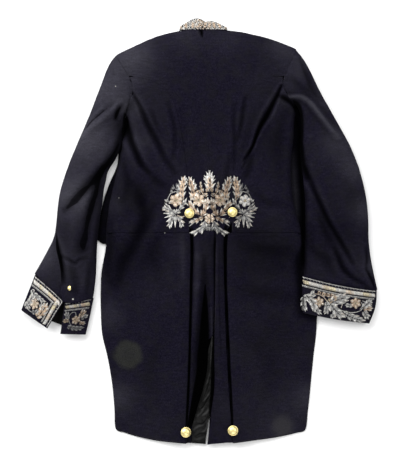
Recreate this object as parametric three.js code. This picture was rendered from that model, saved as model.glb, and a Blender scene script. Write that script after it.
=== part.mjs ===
// An embroidered uniform tail coat, laid flat on its front with its back up.
// Millimetres. X runs across the coat, Y from hem to collar, Z up from the surface it lies on.
import * as THREE from 'three';

// Driving dimensions
const wall = 3; // wool broadcloth with its lining
const seam = 0.3; // clear space where two pieces meet
const laceWall = 1.2; // raised metal-thread work
const hipButton = { radius: 11.5, height: 9 };
const hemButton = { radius: 12.5, height: 9.5 };
const cuffButton = { radius: 7, height: 6 };
const neck = { x: 7.5, halfWidth: 61.5, y: 484, mid: 10, top: 22.5 };
const liftOverFront = 4.8; // height of cloth whose edge lies on a forepart
const waist = -3; // where the side bodies end and the skirts begin
const frontHem = -30; // lower edge of the foreparts
const frontMeet = { top: 8, bottom: 22 }; // the line on which the foreparts meet
const underlap = 9; // how far the left tail reaches under the right one
const tailRoll = 14; // width over which a tail strip rolls down into its pleat
const valleyRoll = 16; // width over which the left tail sinks into the open vent
const tailOver = 8.6; // lowest height of the right tail, which lies on the left one
const pleatReach = 34; // how far a pleat's inner fold reaches under the skirt
const sideRoll = { skirt: 165, waist: 95, chest: 75 }; // how far in the sides curve down
const shoulderRoll = { neck: 70, shoulder: 55 }; // the same along the neck and shoulder edges
const mouthRoll = 60; // width over which the body rises to the sleeves' mouths
const onLace = 4.6; // a hip button's seat above the middle of the cloth, on the raised work
const hemButtonSeat = 15;
const cuffButtonSeat = { x: -312, y: -135, z: 30, lean: -50 }; // on the slope of the open cuff, degrees

// Centre-back seam above the waist, then the edge of the right tail
const spineRows = [
  { y: -512, x: 17 },
  { y: -456, x: 22 },
  { y: -297, x: 30.5 },
  { y: -166, x: 36 },
  { y: 2, x: 37 },
  { y: 30, x: 27 },
  { y: 60, x: 24.5 },
  { y: 130, x: 24 },
  { y: 300, x: 15 },
  { y: 484, x: 5 },
];

// Height of the cloth along the middle
const riseRows = [
  { y: -512, z: 9 },
  { y: -300, z: 10.5 },
  { y: -150, z: 13 },
  { y: -60, z: 17.5 },
  { y: 0, z: 23 },
  { y: 100, z: 29 },
  { y: 200, z: 33 },
  { y: 320, z: 36 },
  { y: 484, z: 37 },
];

// Side edges of body and skirts
const sideRows = [
  { y: -490, left: -203, right: 252 },
  { y: -401, left: -208, right: 262 },
  { y: -337, left: -216, right: 268 },
  { y: -288, left: -226, right: 273 },
  { y: -235, left: -237, right: 279 },
  { y: -154, left: -239, right: 281 },
  { y: -98, left: -237, right: 272 },
  { y: -31, left: -226, right: 254 },
  { y: 0, left: -226, right: 243 },
  { y: 57, left: -219, right: 227 },
  { y: 107, left: -209, right: 218 },
  { y: 154, left: -198, right: 217 },
  { y: 190, left: -191, right: 219 },
  { y: 240, left: -181, right: 224 },
  { y: 300, left: -174, right: 228 },
];

// How far the foreparts reach out past the side bodies: a corner on the left, and under the sleeves above it
const frontReachRows = [
  { y: -30, left: -236, right: 262 },
  { y: -22, left: -248.5, right: 262 },
  { y: 64, left: -236, right: 262 },
  { y: 100, left: -225.5, right: 259 },
  { y: 136, left: -211, right: 256 },
  { y: 170, left: -198, right: 254 },
  { y: 192, left: -195, right: 253 },
  { y: 206, left: -199, right: 253 },
  { y: 234, left: -196, right: 254 },
  { y: 256, left: -190, right: 252 },
  { y: 276, left: -181, right: 246.5 },
  { y: 296, left: -174, right: 230 },
];

// Shoulder line and neckline
const shoulderRows = [
  { x: -202, y: 424 },
  { x: -169, y: 441 },
  { x: -123, y: 462 },
  { x: -88, y: 474.5 },
  { x: -54, y: 483 },
  { x: 5, y: 484 },
  { x: 69, y: 484 },
  { x: 107, y: 477.5 },
  { x: 152, y: 468 },
  { x: 194, y: 454 },
  { x: 226, y: 440 },
];

// Lower edge of the skirts and tails
const hemRows = [
  { x: -205, y: -474.5 },
  { x: -157, y: -490 },
  { x: -94, y: -502 },
  { x: -44, y: -506 },
  { x: 11, y: -511 },
  { x: 66, y: -507 },
  { x: 119, y: -501 },
  { x: 176, y: -494 },
  { x: 222, y: -485.5 },
  { x: 254, y: -476 },
];

// Curved side-back seams: distance from the centre line at each level
const sideBackRows = [
  { y: 0, out: 52 },
  { y: 47, out: 52 },
  { y: 129, out: 54 },
  { y: 172, out: 57 },
  { y: 237, out: 63 },
  { y: 302, out: 75 },
  { y: 330, out: 88 },
  { y: 348, out: 105 },
  { y: 360, out: 128 },
  { y: 368, out: 155 },
  { y: 373, out: 186 },
];

// Folds of the two back pleats, the strip's own edge beside each, and the roll into the open vent
const pleatRows = [
  { y: -512, left: -34, leftStrip: -31, right: 79, rightStrip: 75.5, valley: -27 },
  { y: -459, left: -32.5, leftStrip: -29, right: 77.5, rightStrip: 73, valley: -23 },
  { y: -373, left: -29.5, leftStrip: -26, right: 74.5, rightStrip: 67, valley: -12 },
  { y: -270, left: -28.5, leftStrip: -24.5, right: 70, rightStrip: 61.5, valley: 1 },
  { y: -166, left: -26, leftStrip: -20.5, right: 67, rightStrip: 58, valley: 12 },
  { y: -73, left: -25, leftStrip: -18.5, right: 66, rightStrip: 56.5, valley: 24 },
  { y: 6, left: -24, leftStrip: -19, right: 65, rightStrip: 58, valley: 36 },
];

// Satin facing that shows in the open vent
const facingRows = [
  { y: -511, left: -28, right: 10.5 },
  { y: -473, left: -20.5, right: 15 },
  { y: -425, left: -7, right: 24 },
  { y: -373, left: 8, right: 32 },
  { y: -321, left: 17.5, right: 35 },
  { y: -288, left: 19, right: 36.3 },
  { y: -262, left: 28, right: 37 },
];

// Armholes, from the shoulder tip to the armpit, hollowed towards the back
const armholes = {
  left: { tip: [-202, 424], pit: [-178, 298], hollow: 26 },
  right: { tip: [226, 440], pit: [234, 302], hollow: -34 },
};

// Sleeves: the outer and inner edge at each section, how far the section bends sideways and down,
// the height of its crown and how far its inner edge is lifted off the surface
const sleeveRows = {
  left: [
    { outX: -202, outY: 424, inX: -178, inY: 298, bow: 26, dip: 0, high: 36, lift: 0 },
    { outX: -218, outY: 403, inX: -180, inY: 288, bow: 17, dip: 0, high: 38, lift: 3 },
    { outX: -237, outY: 356, inX: -183, inY: 266, bow: 8, dip: 0, high: 39, lift: 5 },
    { outX: -256, outY: 306, inX: -185, inY: 240, bow: 2, dip: 0, high: 39, lift: 5 },
    { outX: -276, outY: 258, inX: -191, inY: 206, bow: 0, dip: 0, high: 38, lift: 5 },
    { outX: -295, outY: 214, inX: -206, inY: 176, bow: 0, dip: 0, high: 37, lift: 4 },
    { outX: -312, outY: 172, inX: -222, inY: 148, bow: 0, dip: 0, high: 36, lift: 2 },
    { outX: -329, outY: 126, inX: -231, inY: 110, bow: 0, dip: 0, high: 35, lift: 0 },
    { outX: -340, outY: 84, inX: -237, inY: 68, bow: 0, dip: 0, high: 34, lift: 0 },
    { outX: -345, outY: 40, inX: -243, inY: 24, bow: 0, dip: 0, high: 32, lift: 0 },
    { outX: -350, outY: -6, inX: -248, inY: -22, bow: 0, dip: 0, high: 30, lift: 0 },
    { outX: -367, outY: -46, inX: -250, inY: -62, bow: 0, dip: 6, high: 28, lift: 0 },
    { outX: -384, outY: -80, inX: -252, inY: -110, bow: 0, dip: 16, high: 27, lift: 0 },
    { outX: -397, outY: -105, inX: -258, inY: -160, bow: 0, dip: 32, high: 26, lift: 0 },
  ],
  right: [
    { outX: 226, outY: 440, inX: 234, inY: 302, bow: -34, dip: 0, high: 36, lift: 0 },
    { outX: 244, outY: 418, inX: 238, inY: 294, bow: -23, dip: 0, high: 38, lift: 3 },
    { outX: 263, outY: 386, inX: 242, inY: 280, bow: -11, dip: 0, high: 39, lift: 5 },
    { outX: 286, outY: 340, inX: 244, inY: 260, bow: -3, dip: 0, high: 39, lift: 5 },
    { outX: 309, outY: 299, inX: 243, inY: 234, bow: 0, dip: 0, high: 38, lift: 5 },
    { outX: 331, outY: 260, inX: 241, inY: 206, bow: 0, dip: 0, high: 38, lift: 5 },
    { outX: 353, outY: 221, inX: 242, inY: 176, bow: 0, dip: 0, high: 37, lift: 5 },
    { outX: 372, outY: 180, inX: 245, inY: 142, bow: 0, dip: 0, high: 37, lift: 5 },
    { outX: 388, outY: 132, inX: 249, inY: 100, bow: 0, dip: 0, high: 36, lift: 5.5 },
    { outX: 399, outY: 82, inX: 251, inY: 56, bow: 0, dip: 0, high: 35, lift: 6 },
    { outX: 404, outY: 28, inX: 252, inY: 12, bow: 0, dip: 0, high: 33, lift: 7 },
    { outX: 405, outY: -22, inX: 251, inY: -30, bow: 0, dip: 0, high: 31, lift: 7 },
    { outX: 411, outY: -72, inX: 249, inY: -68, bow: 0, dip: 0, high: 29, lift: 7 },
    { outX: 425, outY: -140, inX: 244, inY: -105, bow: 0, dip: 4, high: 27, lift: 7 },
  ],
};

// Where the hind-arm seam runs on the upper face: 0 at the outer edge, 1 at the inner edge
const hindArmRows = {
  left: [
    { v: 0, at: 0.04 },
    { v: 0.6, at: 0.04 },
    { v: 0.78, at: 0.1 },
    { v: 0.9, at: 0.36 },
    { v: 1, at: 0.53 },
  ],
  right: [
    { v: 0, at: 0.04 },
    { v: 1, at: 0.04 },
  ],
};

// Right cuff: a round band that carries the sleeve on
const cuffRightRows = [
  { outX: 425, outY: -141, inX: 244, inY: -106, bow: 0, dip: 4, high: 27, lift: 7 },
  { outX: 422, outY: -182, inX: 243, inY: -150, bow: 0, dip: 4, high: 25, lift: 7 },
  { outX: 408, outY: -221, inX: 243, inY: -194, bow: 0, dip: 3, high: 22, lift: 7 },
];

// Left cuff: its two ends spread apart at the open hind-arm seam
const cuffLeft = {
  outerTop: [-398, -106],
  outerHem: [-430, -189],
  openTop: [-328, -167],
  openHem: [-368, -232],
  underOpenTop: [-325, -171],
  underOpenHem: [-336, -246],
  innerTop: [-258, -161],
  innerHem: [-277, -247],
  crownTop: 25,
  crownHem: 20,
};

// The largest folds of the back and skirts: a line each, how wide the trough is and how deep
const bodyFolds = [
  { line: [[-152, 326], [-139, 287], [-113, 233], [-85, 176], [-46, 136]], wide: 11, deep: -6 },
  { line: [[-176, 284], [-168, 237], [-146, 180], [-125, 140]], wide: 11, deep: -9 },
  { line: [[188, 332], [160, 284], [131, 226], [110, 172], [99, 133]], wide: 12, deep: -11 },
  { line: [[-157, 86], [-132, 42], [-150, 2]], wide: 13, deep: -5 },
  { line: [[-140, 0], [-190, -56], [-207, -128]], wide: 14, deep: -4 },
  { line: [[210, 292], [192, 200], [200, 120]], wide: 16, deep: -6 },
];
const sleeveFolds = {
  left: [
    { line: [[-221, 152], [-265, 107], [-293, 75], [-319, 50]], wide: 13, deep: -6 },
    { line: [[-171, 312], [-197, 302], [-243, 262], [-286, 212]], wide: 13, deep: 4 },
    { line: [[-243, 118], [-262, 60], [-275, 0]], wide: 12, deep: -6 },
    { line: [[-336, -20], [-328, -80], [-326, -150]], wide: 11, deep: -6 },
  ],
  right: [
    { line: [[205, 322], [238, 322], [275, 280], [318, 226], [347, 215]], wide: 14, deep: 5 },
    { line: [[240, 410], [261, 370], [292, 318]], wide: 12, deep: -5 },
    { line: [[254, 143], [284, 92], [326, 6], [360, -70]], wide: 14, deep: -7 },
    { line: [[318, -40], [339, -82], [369, -116]], wide: 11, deep: -4 },
  ],
};

// Reach of the raised work at the back waist, either side of the centre line
const sprayRows = [
  { x: -112, top: 52, bottom: 38 },
  { x: -100, top: 78, bottom: 20 },
  { x: -84, top: 104, bottom: 12 },
  { x: -66, top: 121, bottom: 5 },
  { x: -48, top: 124, bottom: 1 },
  { x: -32, top: 112, bottom: 0 },
  { x: -16, top: 130, bottom: 2 },
  { x: 0, top: 147, bottom: -1 },
  { x: 16, top: 130, bottom: 2 },
  { x: 32, top: 112, bottom: 0 },
  { x: 48, top: 124, bottom: 1 },
  { x: 66, top: 121, bottom: 5 },
  { x: 84, top: 104, bottom: 12 },
  { x: 100, top: 78, bottom: 20 },
  { x: 112, top: 52, bottom: 38 },
];
const sprayCentre = 23;

// Upper edge of the standing collar above its base
const collarRows = [
  { x: -54, reach: 4 },
  { x: -40, reach: 13 },
  { x: -20, reach: 23.5 },
  { x: -5.5, reach: 27 },
  { x: 5, reach: 24.5 },
  { x: 12.7, reach: 20.5 },
  { x: 25.7, reach: 22.8 },
  { x: 45, reach: 14.5 },
  { x: 60, reach: 7 },
  { x: 69, reach: 4 },
];

// A smooth column of a table, read at any value of its key
function column(rows, key, name) {
  const count = rows.length;
  const slope = (i) => (rows[i + 1][name] - rows[i][name]) / (rows[i + 1][key] - rows[i][key]);
  const tangents = rows.map((row, i) => {
    if (i === 0) return slope(0);
    if (i === count - 1) return slope(count - 2);
    const before = slope(i - 1);
    const after = slope(i);
    return before * after <= 0 ? 0 : (2 * before * after) / (before + after);
  });
  return (value) => {
    if (value <= rows[0][key]) return rows[0][name];
    if (value >= rows[count - 1][key]) return rows[count - 1][name];
    const i = rows.findIndex((row, n) => value < rows[n + 1][key]);
    const span = rows[i + 1][key] - rows[i][key];
    const t = (value - rows[i][key]) / span;
    const s = 1 - t;
    return (1 + 2 * t) * s * s * rows[i][name] + t * s * s * span * tangents[i]
      + t * t * (3 - 2 * t) * rows[i + 1][name] - t * t * s * span * tangents[i + 1];
  };
}

const { clamp, lerp, smoothstep } = THREE.MathUtils;
const spine = column(spineRows, 'y', 'x');
const rise = column(riseRows, 'y', 'z');
const leftSide = column(sideRows, 'y', 'left');
const rightSide = column(sideRows, 'y', 'right');
const shoulderLine = column(shoulderRows, 'x', 'y');
const hemLine = column(hemRows, 'x', 'y');
const sideBackOut = column(sideBackRows, 'y', 'out');
const pleatLeft = column(pleatRows, 'y', 'left');
const pleatRight = column(pleatRows, 'y', 'right');
const stripLeft = column(pleatRows, 'y', 'leftStrip');
const stripRight = column(pleatRows, 'y', 'rightStrip');
const valleyLine = column(pleatRows, 'y', 'valley');
const facingLeft = column(facingRows, 'y', 'left');
const facingRight = column(facingRows, 'y', 'right');
const sprayTop = column(sprayRows, 'x', 'top');
const sprayBottom = column(sprayRows, 'x', 'bottom');
const collarReach = column(collarRows, 'x', 'reach');

// A quarter of a rounded box: 0 at its foot, 1 where it has levelled out
const crown = (t, roundness) => (1 - (1 - clamp(t, 0, 1)) ** roundness) ** (1 / roundness);

// How far a point is from a line, and how near its middle
function nearLine(line, x, y) {
  const whole = line.length - 1;
  let nearest = { distance: Infinity, along: 0 };
  for (let i = 0; i < whole; i += 1) {
    const [ax, ay] = line[i];
    const [bx, by] = line[i + 1];
    const size = (bx - ax) ** 2 + (by - ay) ** 2;
    const t = clamp(((x - ax) * (bx - ax) + (y - ay) * (by - ay)) / size, 0, 1);
    const distance = Math.hypot(x - lerp(ax, bx, t), y - lerp(ay, by, t));
    if (distance < nearest.distance) nearest = { distance, along: (i + t) / whole };
  }
  return nearest;
}

function foldHeight(folds, x, y) {
  let height = 0;
  for (const { line, wide, deep } of folds) {
    const { distance, along } = nearLine(line, x, y);
    const taper = Math.sin(Math.PI * clamp(0.08 + 0.84 * along, 0, 1)) ** 0.6;
    height += deep * taper * Math.exp(-((distance / wide) ** 2));
  }
  return height;
}

// Armhole edge at a level, and the height of the sleeve's mouth there
function armholeShare(side, y) {
  const { tip, pit } = armholes[side];
  return (tip[1] - y) / (tip[1] - pit[1]);
}
const hollowAt = (share) => Math.sin(Math.PI * clamp(share, 0, 1) ** 1.4);
function armholeX(side, y) {
  const { tip, pit, hollow } = armholes[side];
  const share = armholeShare(side, y);
  return lerp(tip[0], pit[0], share) + hollow * hollowAt(share);
}
const sleeveMid = 10;
const sleeveRoundness = 2.6;
function mouthHeight(side, y) {
  const across = Math.abs(1 - 2 * clamp(armholeShare(side, y), 0, 1));
  const high = sleeveRows[side][0].high - wall / 2;
  return sleeveMid + (high - sleeveMid) * (1 - across ** sleeveRoundness) ** (1 / sleeveRoundness);
}

// Height of the neckline's edge, then of the shoulder edge outside it
function topEdgeHeight(x) {
  const out = Math.abs(x - neck.x) / neck.halfWidth;
  if (out < 1) return neck.mid + (neck.top - neck.mid) * Math.sqrt(1 - out * out);
  return lerp(neck.mid, liftOverFront, smoothstep((out - 1) * neck.halfWidth, 0, 25));
}

// Height of the middle of the cloth over the whole back and skirts
function bodyHeight(x, y) {
  const side = x < spine(y) ? 'left' : 'right';
  const inside = side === 'left' ? x - leftSide(y) : rightSide(y) - x;
  const upper = lerp(sideRoll.waist, sideRoll.chest, smoothstep(y, 0, 300));
  const rollWidth = lerp(sideRoll.skirt, upper, smoothstep(y, -110, 0));
  const soft = smoothstep(inside, 0, rollWidth);
  const domed = crown(inside / rollWidth, 2.4);
  const rolled = lerp(lerp(soft, domed, smoothstep(y, -100, 0)), 1, smoothstep(y, 285, 335));
  const edge = lerp(wall / 2, liftOverFront, smoothstep(y, -66, -37));
  let z = edge + (rise(y) - edge) * rolled;
  const below = shoulderLine(x) - y;
  const top = topEdgeHeight(x);
  const offNeck = smoothstep(Math.abs(x - neck.x) / neck.halfWidth, 0.75, 1.05);
  const atNeck = smoothstep(below, 0, shoulderRoll.neck);
  const drop = lerp(atNeck, crown(below / shoulderRoll.shoulder, 2.2), offNeck);
  z = top + (z - top) * drop;
  if (y > 240) {
    const reach = Math.abs(armholeX(side, Math.max(y, armholes[side].pit[1])) - x);
    const near = (1 - smoothstep(reach, 0, mouthRoll)) * smoothstep(y, 270, 299);
    z = lerp(z, mouthHeight(side, y), near);
  }
  const fade = smoothstep(inside, 4, 40) * smoothstep(below, 4, 40);
  return z + foldHeight(bodyFolds, x, y) * (y > 298 ? 1 : fade);
}

const v3 = (x, y, z) => new THREE.Vector3(x, y, z);

// The direction that a surface faces at a point; v runs from 0 to `end`
function facing(surface, u, v, end) {
  const small = 0.0008;
  const u0 = Math.max(u - small, 0);
  const u1 = Math.min(u + small, 1);
  const v0 = Math.max(v - small, 0);
  const v1 = Math.min(v + small, end);
  const along = surface(u1, v).sub(surface(u0, v));
  const up = surface(u, v1).sub(surface(u, v0));
  return along.cross(up).normalize();
}

// A closed wall of cloth on a surface, from `low` to `high` along the direction that it faces
function cloth(surface, us, vs, low = -wall / 2, high = wall / 2) {
  const across = us.length;
  const rows = vs.length;
  const end = Math.max(vs[rows - 1], 1);
  const positions = [];
  for (const offset of [high, low]) {
    for (const v of vs) {
      for (const u of us) {
        const point = surface(u, v).addScaledVector(facing(surface, u, v, end), offset);
        positions.push(point.x, point.y, Math.max(point.z, 0));
      }
    }
  }
  const at = (layer, i, j) => layer * across * rows + j * across + i;
  const index = [];
  const quad = (a, b, c, d) => index.push(a, b, c, a, c, d);
  for (let j = 0; j < rows - 1; j += 1) {
    for (let i = 0; i < across - 1; i += 1) {
      quad(at(0, i, j), at(0, i + 1, j), at(0, i + 1, j + 1), at(0, i, j + 1));
      quad(at(1, i, j), at(1, i, j + 1), at(1, i + 1, j + 1), at(1, i + 1, j));
    }
    quad(at(0, across - 1, j), at(1, across - 1, j), at(1, across - 1, j + 1), at(0, across - 1, j + 1));
    quad(at(0, 0, j), at(0, 0, j + 1), at(1, 0, j + 1), at(1, 0, j));
  }
  for (let i = 0; i < across - 1; i += 1) {
    quad(at(0, i, 0), at(1, i, 0), at(1, i + 1, 0), at(0, i + 1, 0));
    quad(at(0, i, rows - 1), at(0, i + 1, rows - 1), at(1, i + 1, rows - 1), at(1, i, rows - 1));
  }
  return closed(positions, index);
}

// Turns a shape the right way out
function closed(positions, index) {
  let volume = 0;
  const corner = (k) => v3(positions[3 * k], positions[3 * k + 1], positions[3 * k + 2]);
  for (let k = 0; k < index.length; k += 3) {
    volume += corner(index[k]).dot(corner(index[k + 1]).cross(corner(index[k + 2])));
  }
  if (volume < 0) index.reverse();
  const geometry = new THREE.BufferGeometry();
  geometry.setAttribute('position', new THREE.Float32BufferAttribute(positions, 3));
  geometry.setIndex(index);
  geometry.computeVertexNormals();
  return geometry;
}

// Evenly spaced values, and values that crowd towards their end
const even = (count) => Array.from({ length: count + 1 }, (_, i) => i / count);
const crowded = (count, power = 1.6) => even(count).map((t) => 1 - (1 - t) ** power);
const between = (from, to, values) => values.map((t) => lerp(from, to, t));
const joined = (...lists) => [...new Set(lists.flat())];

// A panel cut between two edges, each a function of the level y
const panel = (edgeA, edgeB, level, height) => (u, v) => {
  const y = level(u, v);
  const x = lerp(edgeA(y), edgeB(y), u);
  return v3(x, y, height(x, y));
};

const coat = new THREE.Group();
const wool = { color: 0x1f1d28, roughness: 0.9, metalness: 0 };
const woolLight = { color: 0x2b2933, roughness: 0.85, metalness: 0 };
const satin = { color: 0x37363a, roughness: 0.35, metalness: 0 };
const metalThread = { color: 0xa89a86, roughness: 0.45, metalness: 0.7 };
const gilt = { color: 0xf0dc8c, roughness: 0.25, metalness: 1 };

function add(name, geometry, look) {
  const mesh = new THREE.Mesh(geometry, new THREE.MeshStandardMaterial(look));
  mesh.name = name;
  coat.add(mesh);
  return mesh;
}

// Back panels: a tail strip up to the waist, the body up to the armhole, and the shoulder
const sides = ['left', 'right'];
const outward = { left: -1, right: 1 };
const centre = (y) => (y > 60 ? spine(y) : spine(60));
const sideBack = (side) => (y) => centre(y) + outward[side] * sideBackOut(y);
const seamTop = sideBackRows[sideBackRows.length - 1].y;

// Levels shared by the two sides of each side-back seam: shares of the way from waist to armhole
const bodyLevels = [
  0, 0.08, 0.17, 0.26, 0.35, 0.44, 0.53, 0.62, 0.7, 0.77, 0.83, 0.88, 0.92, 0.95, 0.972, 0.99,
];
const bodyLevel = (share) => lerp(waist, seamTop, share);

function backOuter(side) {
  const strip = side === 'left' ? stripLeft : stripRight;
  return (y) => {
    if (y >= seamTop) return armholeX(side, y) - outward[side] * seam;
    const cut = sideBack(side)(y) - outward[side] * seam / 2;
    return lerp(strip(y), cut, smoothstep(y, -12, 24));
  };
}

// The tail strips lie lower than the skirts, roll down into the pleats, and cross at the vent
function stripHeight(side, x, y) {
  const strip = side === 'left' ? stripLeft(y) : stripRight(y);
  const level = rise(y) - 1.5;
  const rolled = liftOverFront + (level - liftOverFront) * crown(Math.abs(x - strip) / tailRoll, 2);
  const depth = smoothstep(-y, 0, 40);
  if (side === 'right') return lerp(bodyHeight(x, y), Math.max(rolled, tailOver), depth);
  const past = smoothstep(x, valleyLine(y) - valleyRoll, valleyLine(y));
  const sunk = lerp(rolled, liftOverFront, past * smoothstep(-y, 60, 190));
  const tucked = lerp(sunk, liftOverFront, smoothstep(x, spine(y) - valleyRoll, spine(y) - 4));
  return lerp(bodyHeight(x, y), tucked, depth);
}

function backPanel(side) {
  const outer = backOuter(side);
  const inner = (y) => {
    const gap = seam / 2 + seam * smoothstep(-y, -40, 0);
    if (side === 'right') return spine(y) + gap;
    const under = spine(y) - gap + underlap * smoothstep(-y, 34, 90);
    return lerp(under, Math.min(under, valleyLine(y) + 3), smoothstep(-y, 215, 290));
  };
  const height = (x, y) => (y < 40 ? stripHeight(side, x, y) : bodyHeight(x, y));
  const foot = (u) => hemLine(lerp(inner(-505), outer(-505), u));
  const tail = panel(inner, outer, (u, v) => lerp(foot(u), waist, v), height);
  const body = panel(inner, outer, (u, v) => bodyLevel(v), height);
  const shoulder = panel(inner, outer, (u, v) => {
    return lerp(seamTop, shoulderLine(lerp(inner(neck.y), armholes[side].tip[0], u)), v);
  }, height);
  const stretches = [tail, body, shoulder];
  const whole = (u, v) => {
    const stretch = Math.min(Math.floor(v), 2);
    return stretches[stretch](u, v - stretch);
  };
  const levels = joined(even(13), bodyLevels.map((t) => 1 + t), crowded(6, 1.7).map((t) => 2 + t));
  return cloth(whole, even(5), levels);
}

// Side bodies: from the armhole down to the waist
function sideBody(side) {
  const out = outward[side];
  const edge = side === 'left' ? leftSide : rightSide;
  const inner = (y) => sideBack(side)(y) + out * seam / 2;
  const pit = armholes[side].pit[1];
  const outer = (y) => {
    const alongArmhole = armholeX(side, Math.max(y, pit)) - out * 2 * seam;
    return lerp(edge(y), alongArmhole, smoothstep(y, pit - 26, pit));
  };
  return cloth(panel(inner, outer, (u, v) => bodyLevel(v), bodyHeight), crowded(8), bodyLevels);
}

// Skirts: out from the pleat's fold, which turns under beside the tail strip
function skirt(side) {
  const out = outward[side];
  const fold = side === 'left' ? pleatLeft : pleatRight;
  const edge = side === 'left' ? leftSide : rightSide;
  const turn = 3.4; // radius of the fold
  const tuck = 22; // cloth turned under
  const share = 0.16; // part of u taken by the turned-under cloth
  const surface = (u, v) => {
    const hemX = lerp(fold(-500), edge(-490), clamp((u - share) / (1 - share), 0, 1));
    const y = lerp(hemLine(hemX), waist - 2 * seam, v);
    const foldX = fold(y) + out * turn;
    const turned = smoothstep(-y, -2, 40);
    const level = lerp(bodyHeight(foldX, y), Math.max(rise(y), 5.2 + 2 * turn), turned);
    if (u < share) {
      const length = tuck + Math.PI * turn;
      const s = (1 - u / share) * length * Math.max(turned, 0.02);
      const angle = Math.min(s / turn, Math.PI);
      const beyond = Math.max(s - Math.PI * turn, 0);
      const x = foldX - out * turn * Math.sin(angle) + out * beyond;
      return v3(x, y, level - turn + turn * Math.cos(angle));
    }
    const x = lerp(foldX, edge(y), (u - share) / (1 - share));
    const near = 1 - smoothstep(Math.abs(x - foldX), 0, 60);
    return v3(x, y, lerp(bodyHeight(x, y), level, near));
  };
  const turnedUnder = [0, 0.45, 0.62, 0.81].map((t) => t * share);
  return cloth(surface, joined(turnedUnder, between(share, 1, crowded(8, 1.15))), even(15));
}

// Pleat underlays: the inner folds of the pleats, flat on the surface
function pleatUnderlay(side) {
  const out = outward[side];
  const fold = side === 'left' ? pleatLeft : pleatRight;
  const inner = (y) => {
    const meet = spine(y) + 2;
    if (side === 'right') return meet + seam;
    return lerp(meet, facingRight(y) - 3, smoothstep(-y, 400, 445));
  };
  const outer = (y) => fold(y) + out * pleatReach;
  const level = (u, v) => lerp(hemLine(lerp(inner(-505), outer(-505), u)) + 1, frontHem - 2 * seam, v);
  return cloth(panel(inner, outer, level, () => wall / 2), even(1), even(9));
}

// Foreparts: flat on the surface under the back, meeting edge to edge
function forepart(side) {
  const out = outward[side];
  const meet = (y) => lerp(frontMeet.bottom, frontMeet.top, smoothstep(y, 0, 480)) + out * seam;
  const reach = column(frontReachRows, 'y', side);
  const edge = side === 'left' ? leftSide : rightSide;
  const pit = armholes[side].pit[1];
  const outer = (y) => {
    if (y > pit) return armholeX(side, y) - out * (seam + 0.2);
    return out * Math.max(out * edge(y) + wall / 2, out * reach(y));
  };
  const level = (u, v) => {
    const crest = shoulderLine(lerp(meet(neck.y), armholes[side].tip[0], u));
    return v < 0.7 ? lerp(frontHem, pit, v / 0.7) : lerp(pit, crest, (v - 0.7) / 0.3);
  };
  const rows = joined(0, 0.02, between(0.08, 0.665, even(7)), between(0.7, 1, even(6)));
  return cloth(panel(meet, outer, level, () => wall / 2), even(4), rows);
}

// Sleeves and cuffs: round sections, flat below
function tube(rows, folds) {
  const outer = new THREE.CatmullRomCurve3(rows.map((r) => v3(r.outX, r.outY, r.bow)));
  const inner = new THREE.CatmullRomCurve3(rows.map((r) => v3(r.inX, r.inY, r.dip)));
  const sizes = new THREE.CatmullRomCurve3(rows.map((r) => v3(r.high, r.lift, 0)));
  const corners = 120;
  const sections = new Map();
  const section = (v) => {
    if (sections.has(v)) return sections.get(v);
    const a = outer.getPoint(v);
    const b = inner.getPoint(v);
    const { x: high, y: lift } = sizes.getPoint(v);
    const chord = Math.hypot(b.x - a.x, b.y - a.y);
    const inset = wall / 2 / chord;
    const points = [];
    for (let k = 0; k <= corners; k += 1) {
      const angle = (2 * Math.PI * k) / corners;
      const upper = Math.sin(angle) >= 0;
      const power = 2 / (upper ? sleeveRoundness : 4.5);
      const cosine = Math.sign(Math.cos(angle)) * Math.abs(Math.cos(angle)) ** power;
      const sine = Math.abs(Math.sin(angle)) ** power;
      const share = (1 - cosine) / 2;
      const t = inset + share * (1 - 2 * inset);
      const x = lerp(a.x, b.x, t) + a.z * hollowAt(share);
      const y = lerp(a.y, b.y, t) - (upper ? b.z * sine * Math.sin(Math.PI * share) : 0);
      const raised = lift * smoothstep(share, 0.45, 0.75);
      const mid = sleeveMid + raised * 0.6;
      const z = upper
        ? mid + (high - wall / 2 - mid + foldHeight(folds, x, y)) * sine
        : mid - (mid - raised - wall / 2) * sine;
      points.push(v3(x, y, z));
    }
    const lengths = [0];
    points.slice(1).forEach((p, k) => lengths.push(lengths[k] + p.distanceTo(points[k])));
    const crest = lengths[corners / 2];
    sections.set(v, { points, lengths, crest, whole: lengths[corners] });
    return sections.get(v);
  };
  const at = (v, length) => {
    const { points, lengths, whole } = section(v);
    const s = ((length % whole) + whole) % whole;
    let k = lengths.findIndex((l) => l > s) - 1;
    if (k < 0) k = corners - 1;
    return points[k].clone().lerp(points[k + 1], (s - lengths[k]) / (lengths[k + 1] - lengths[k]));
  };
  return { section, at };
}

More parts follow.
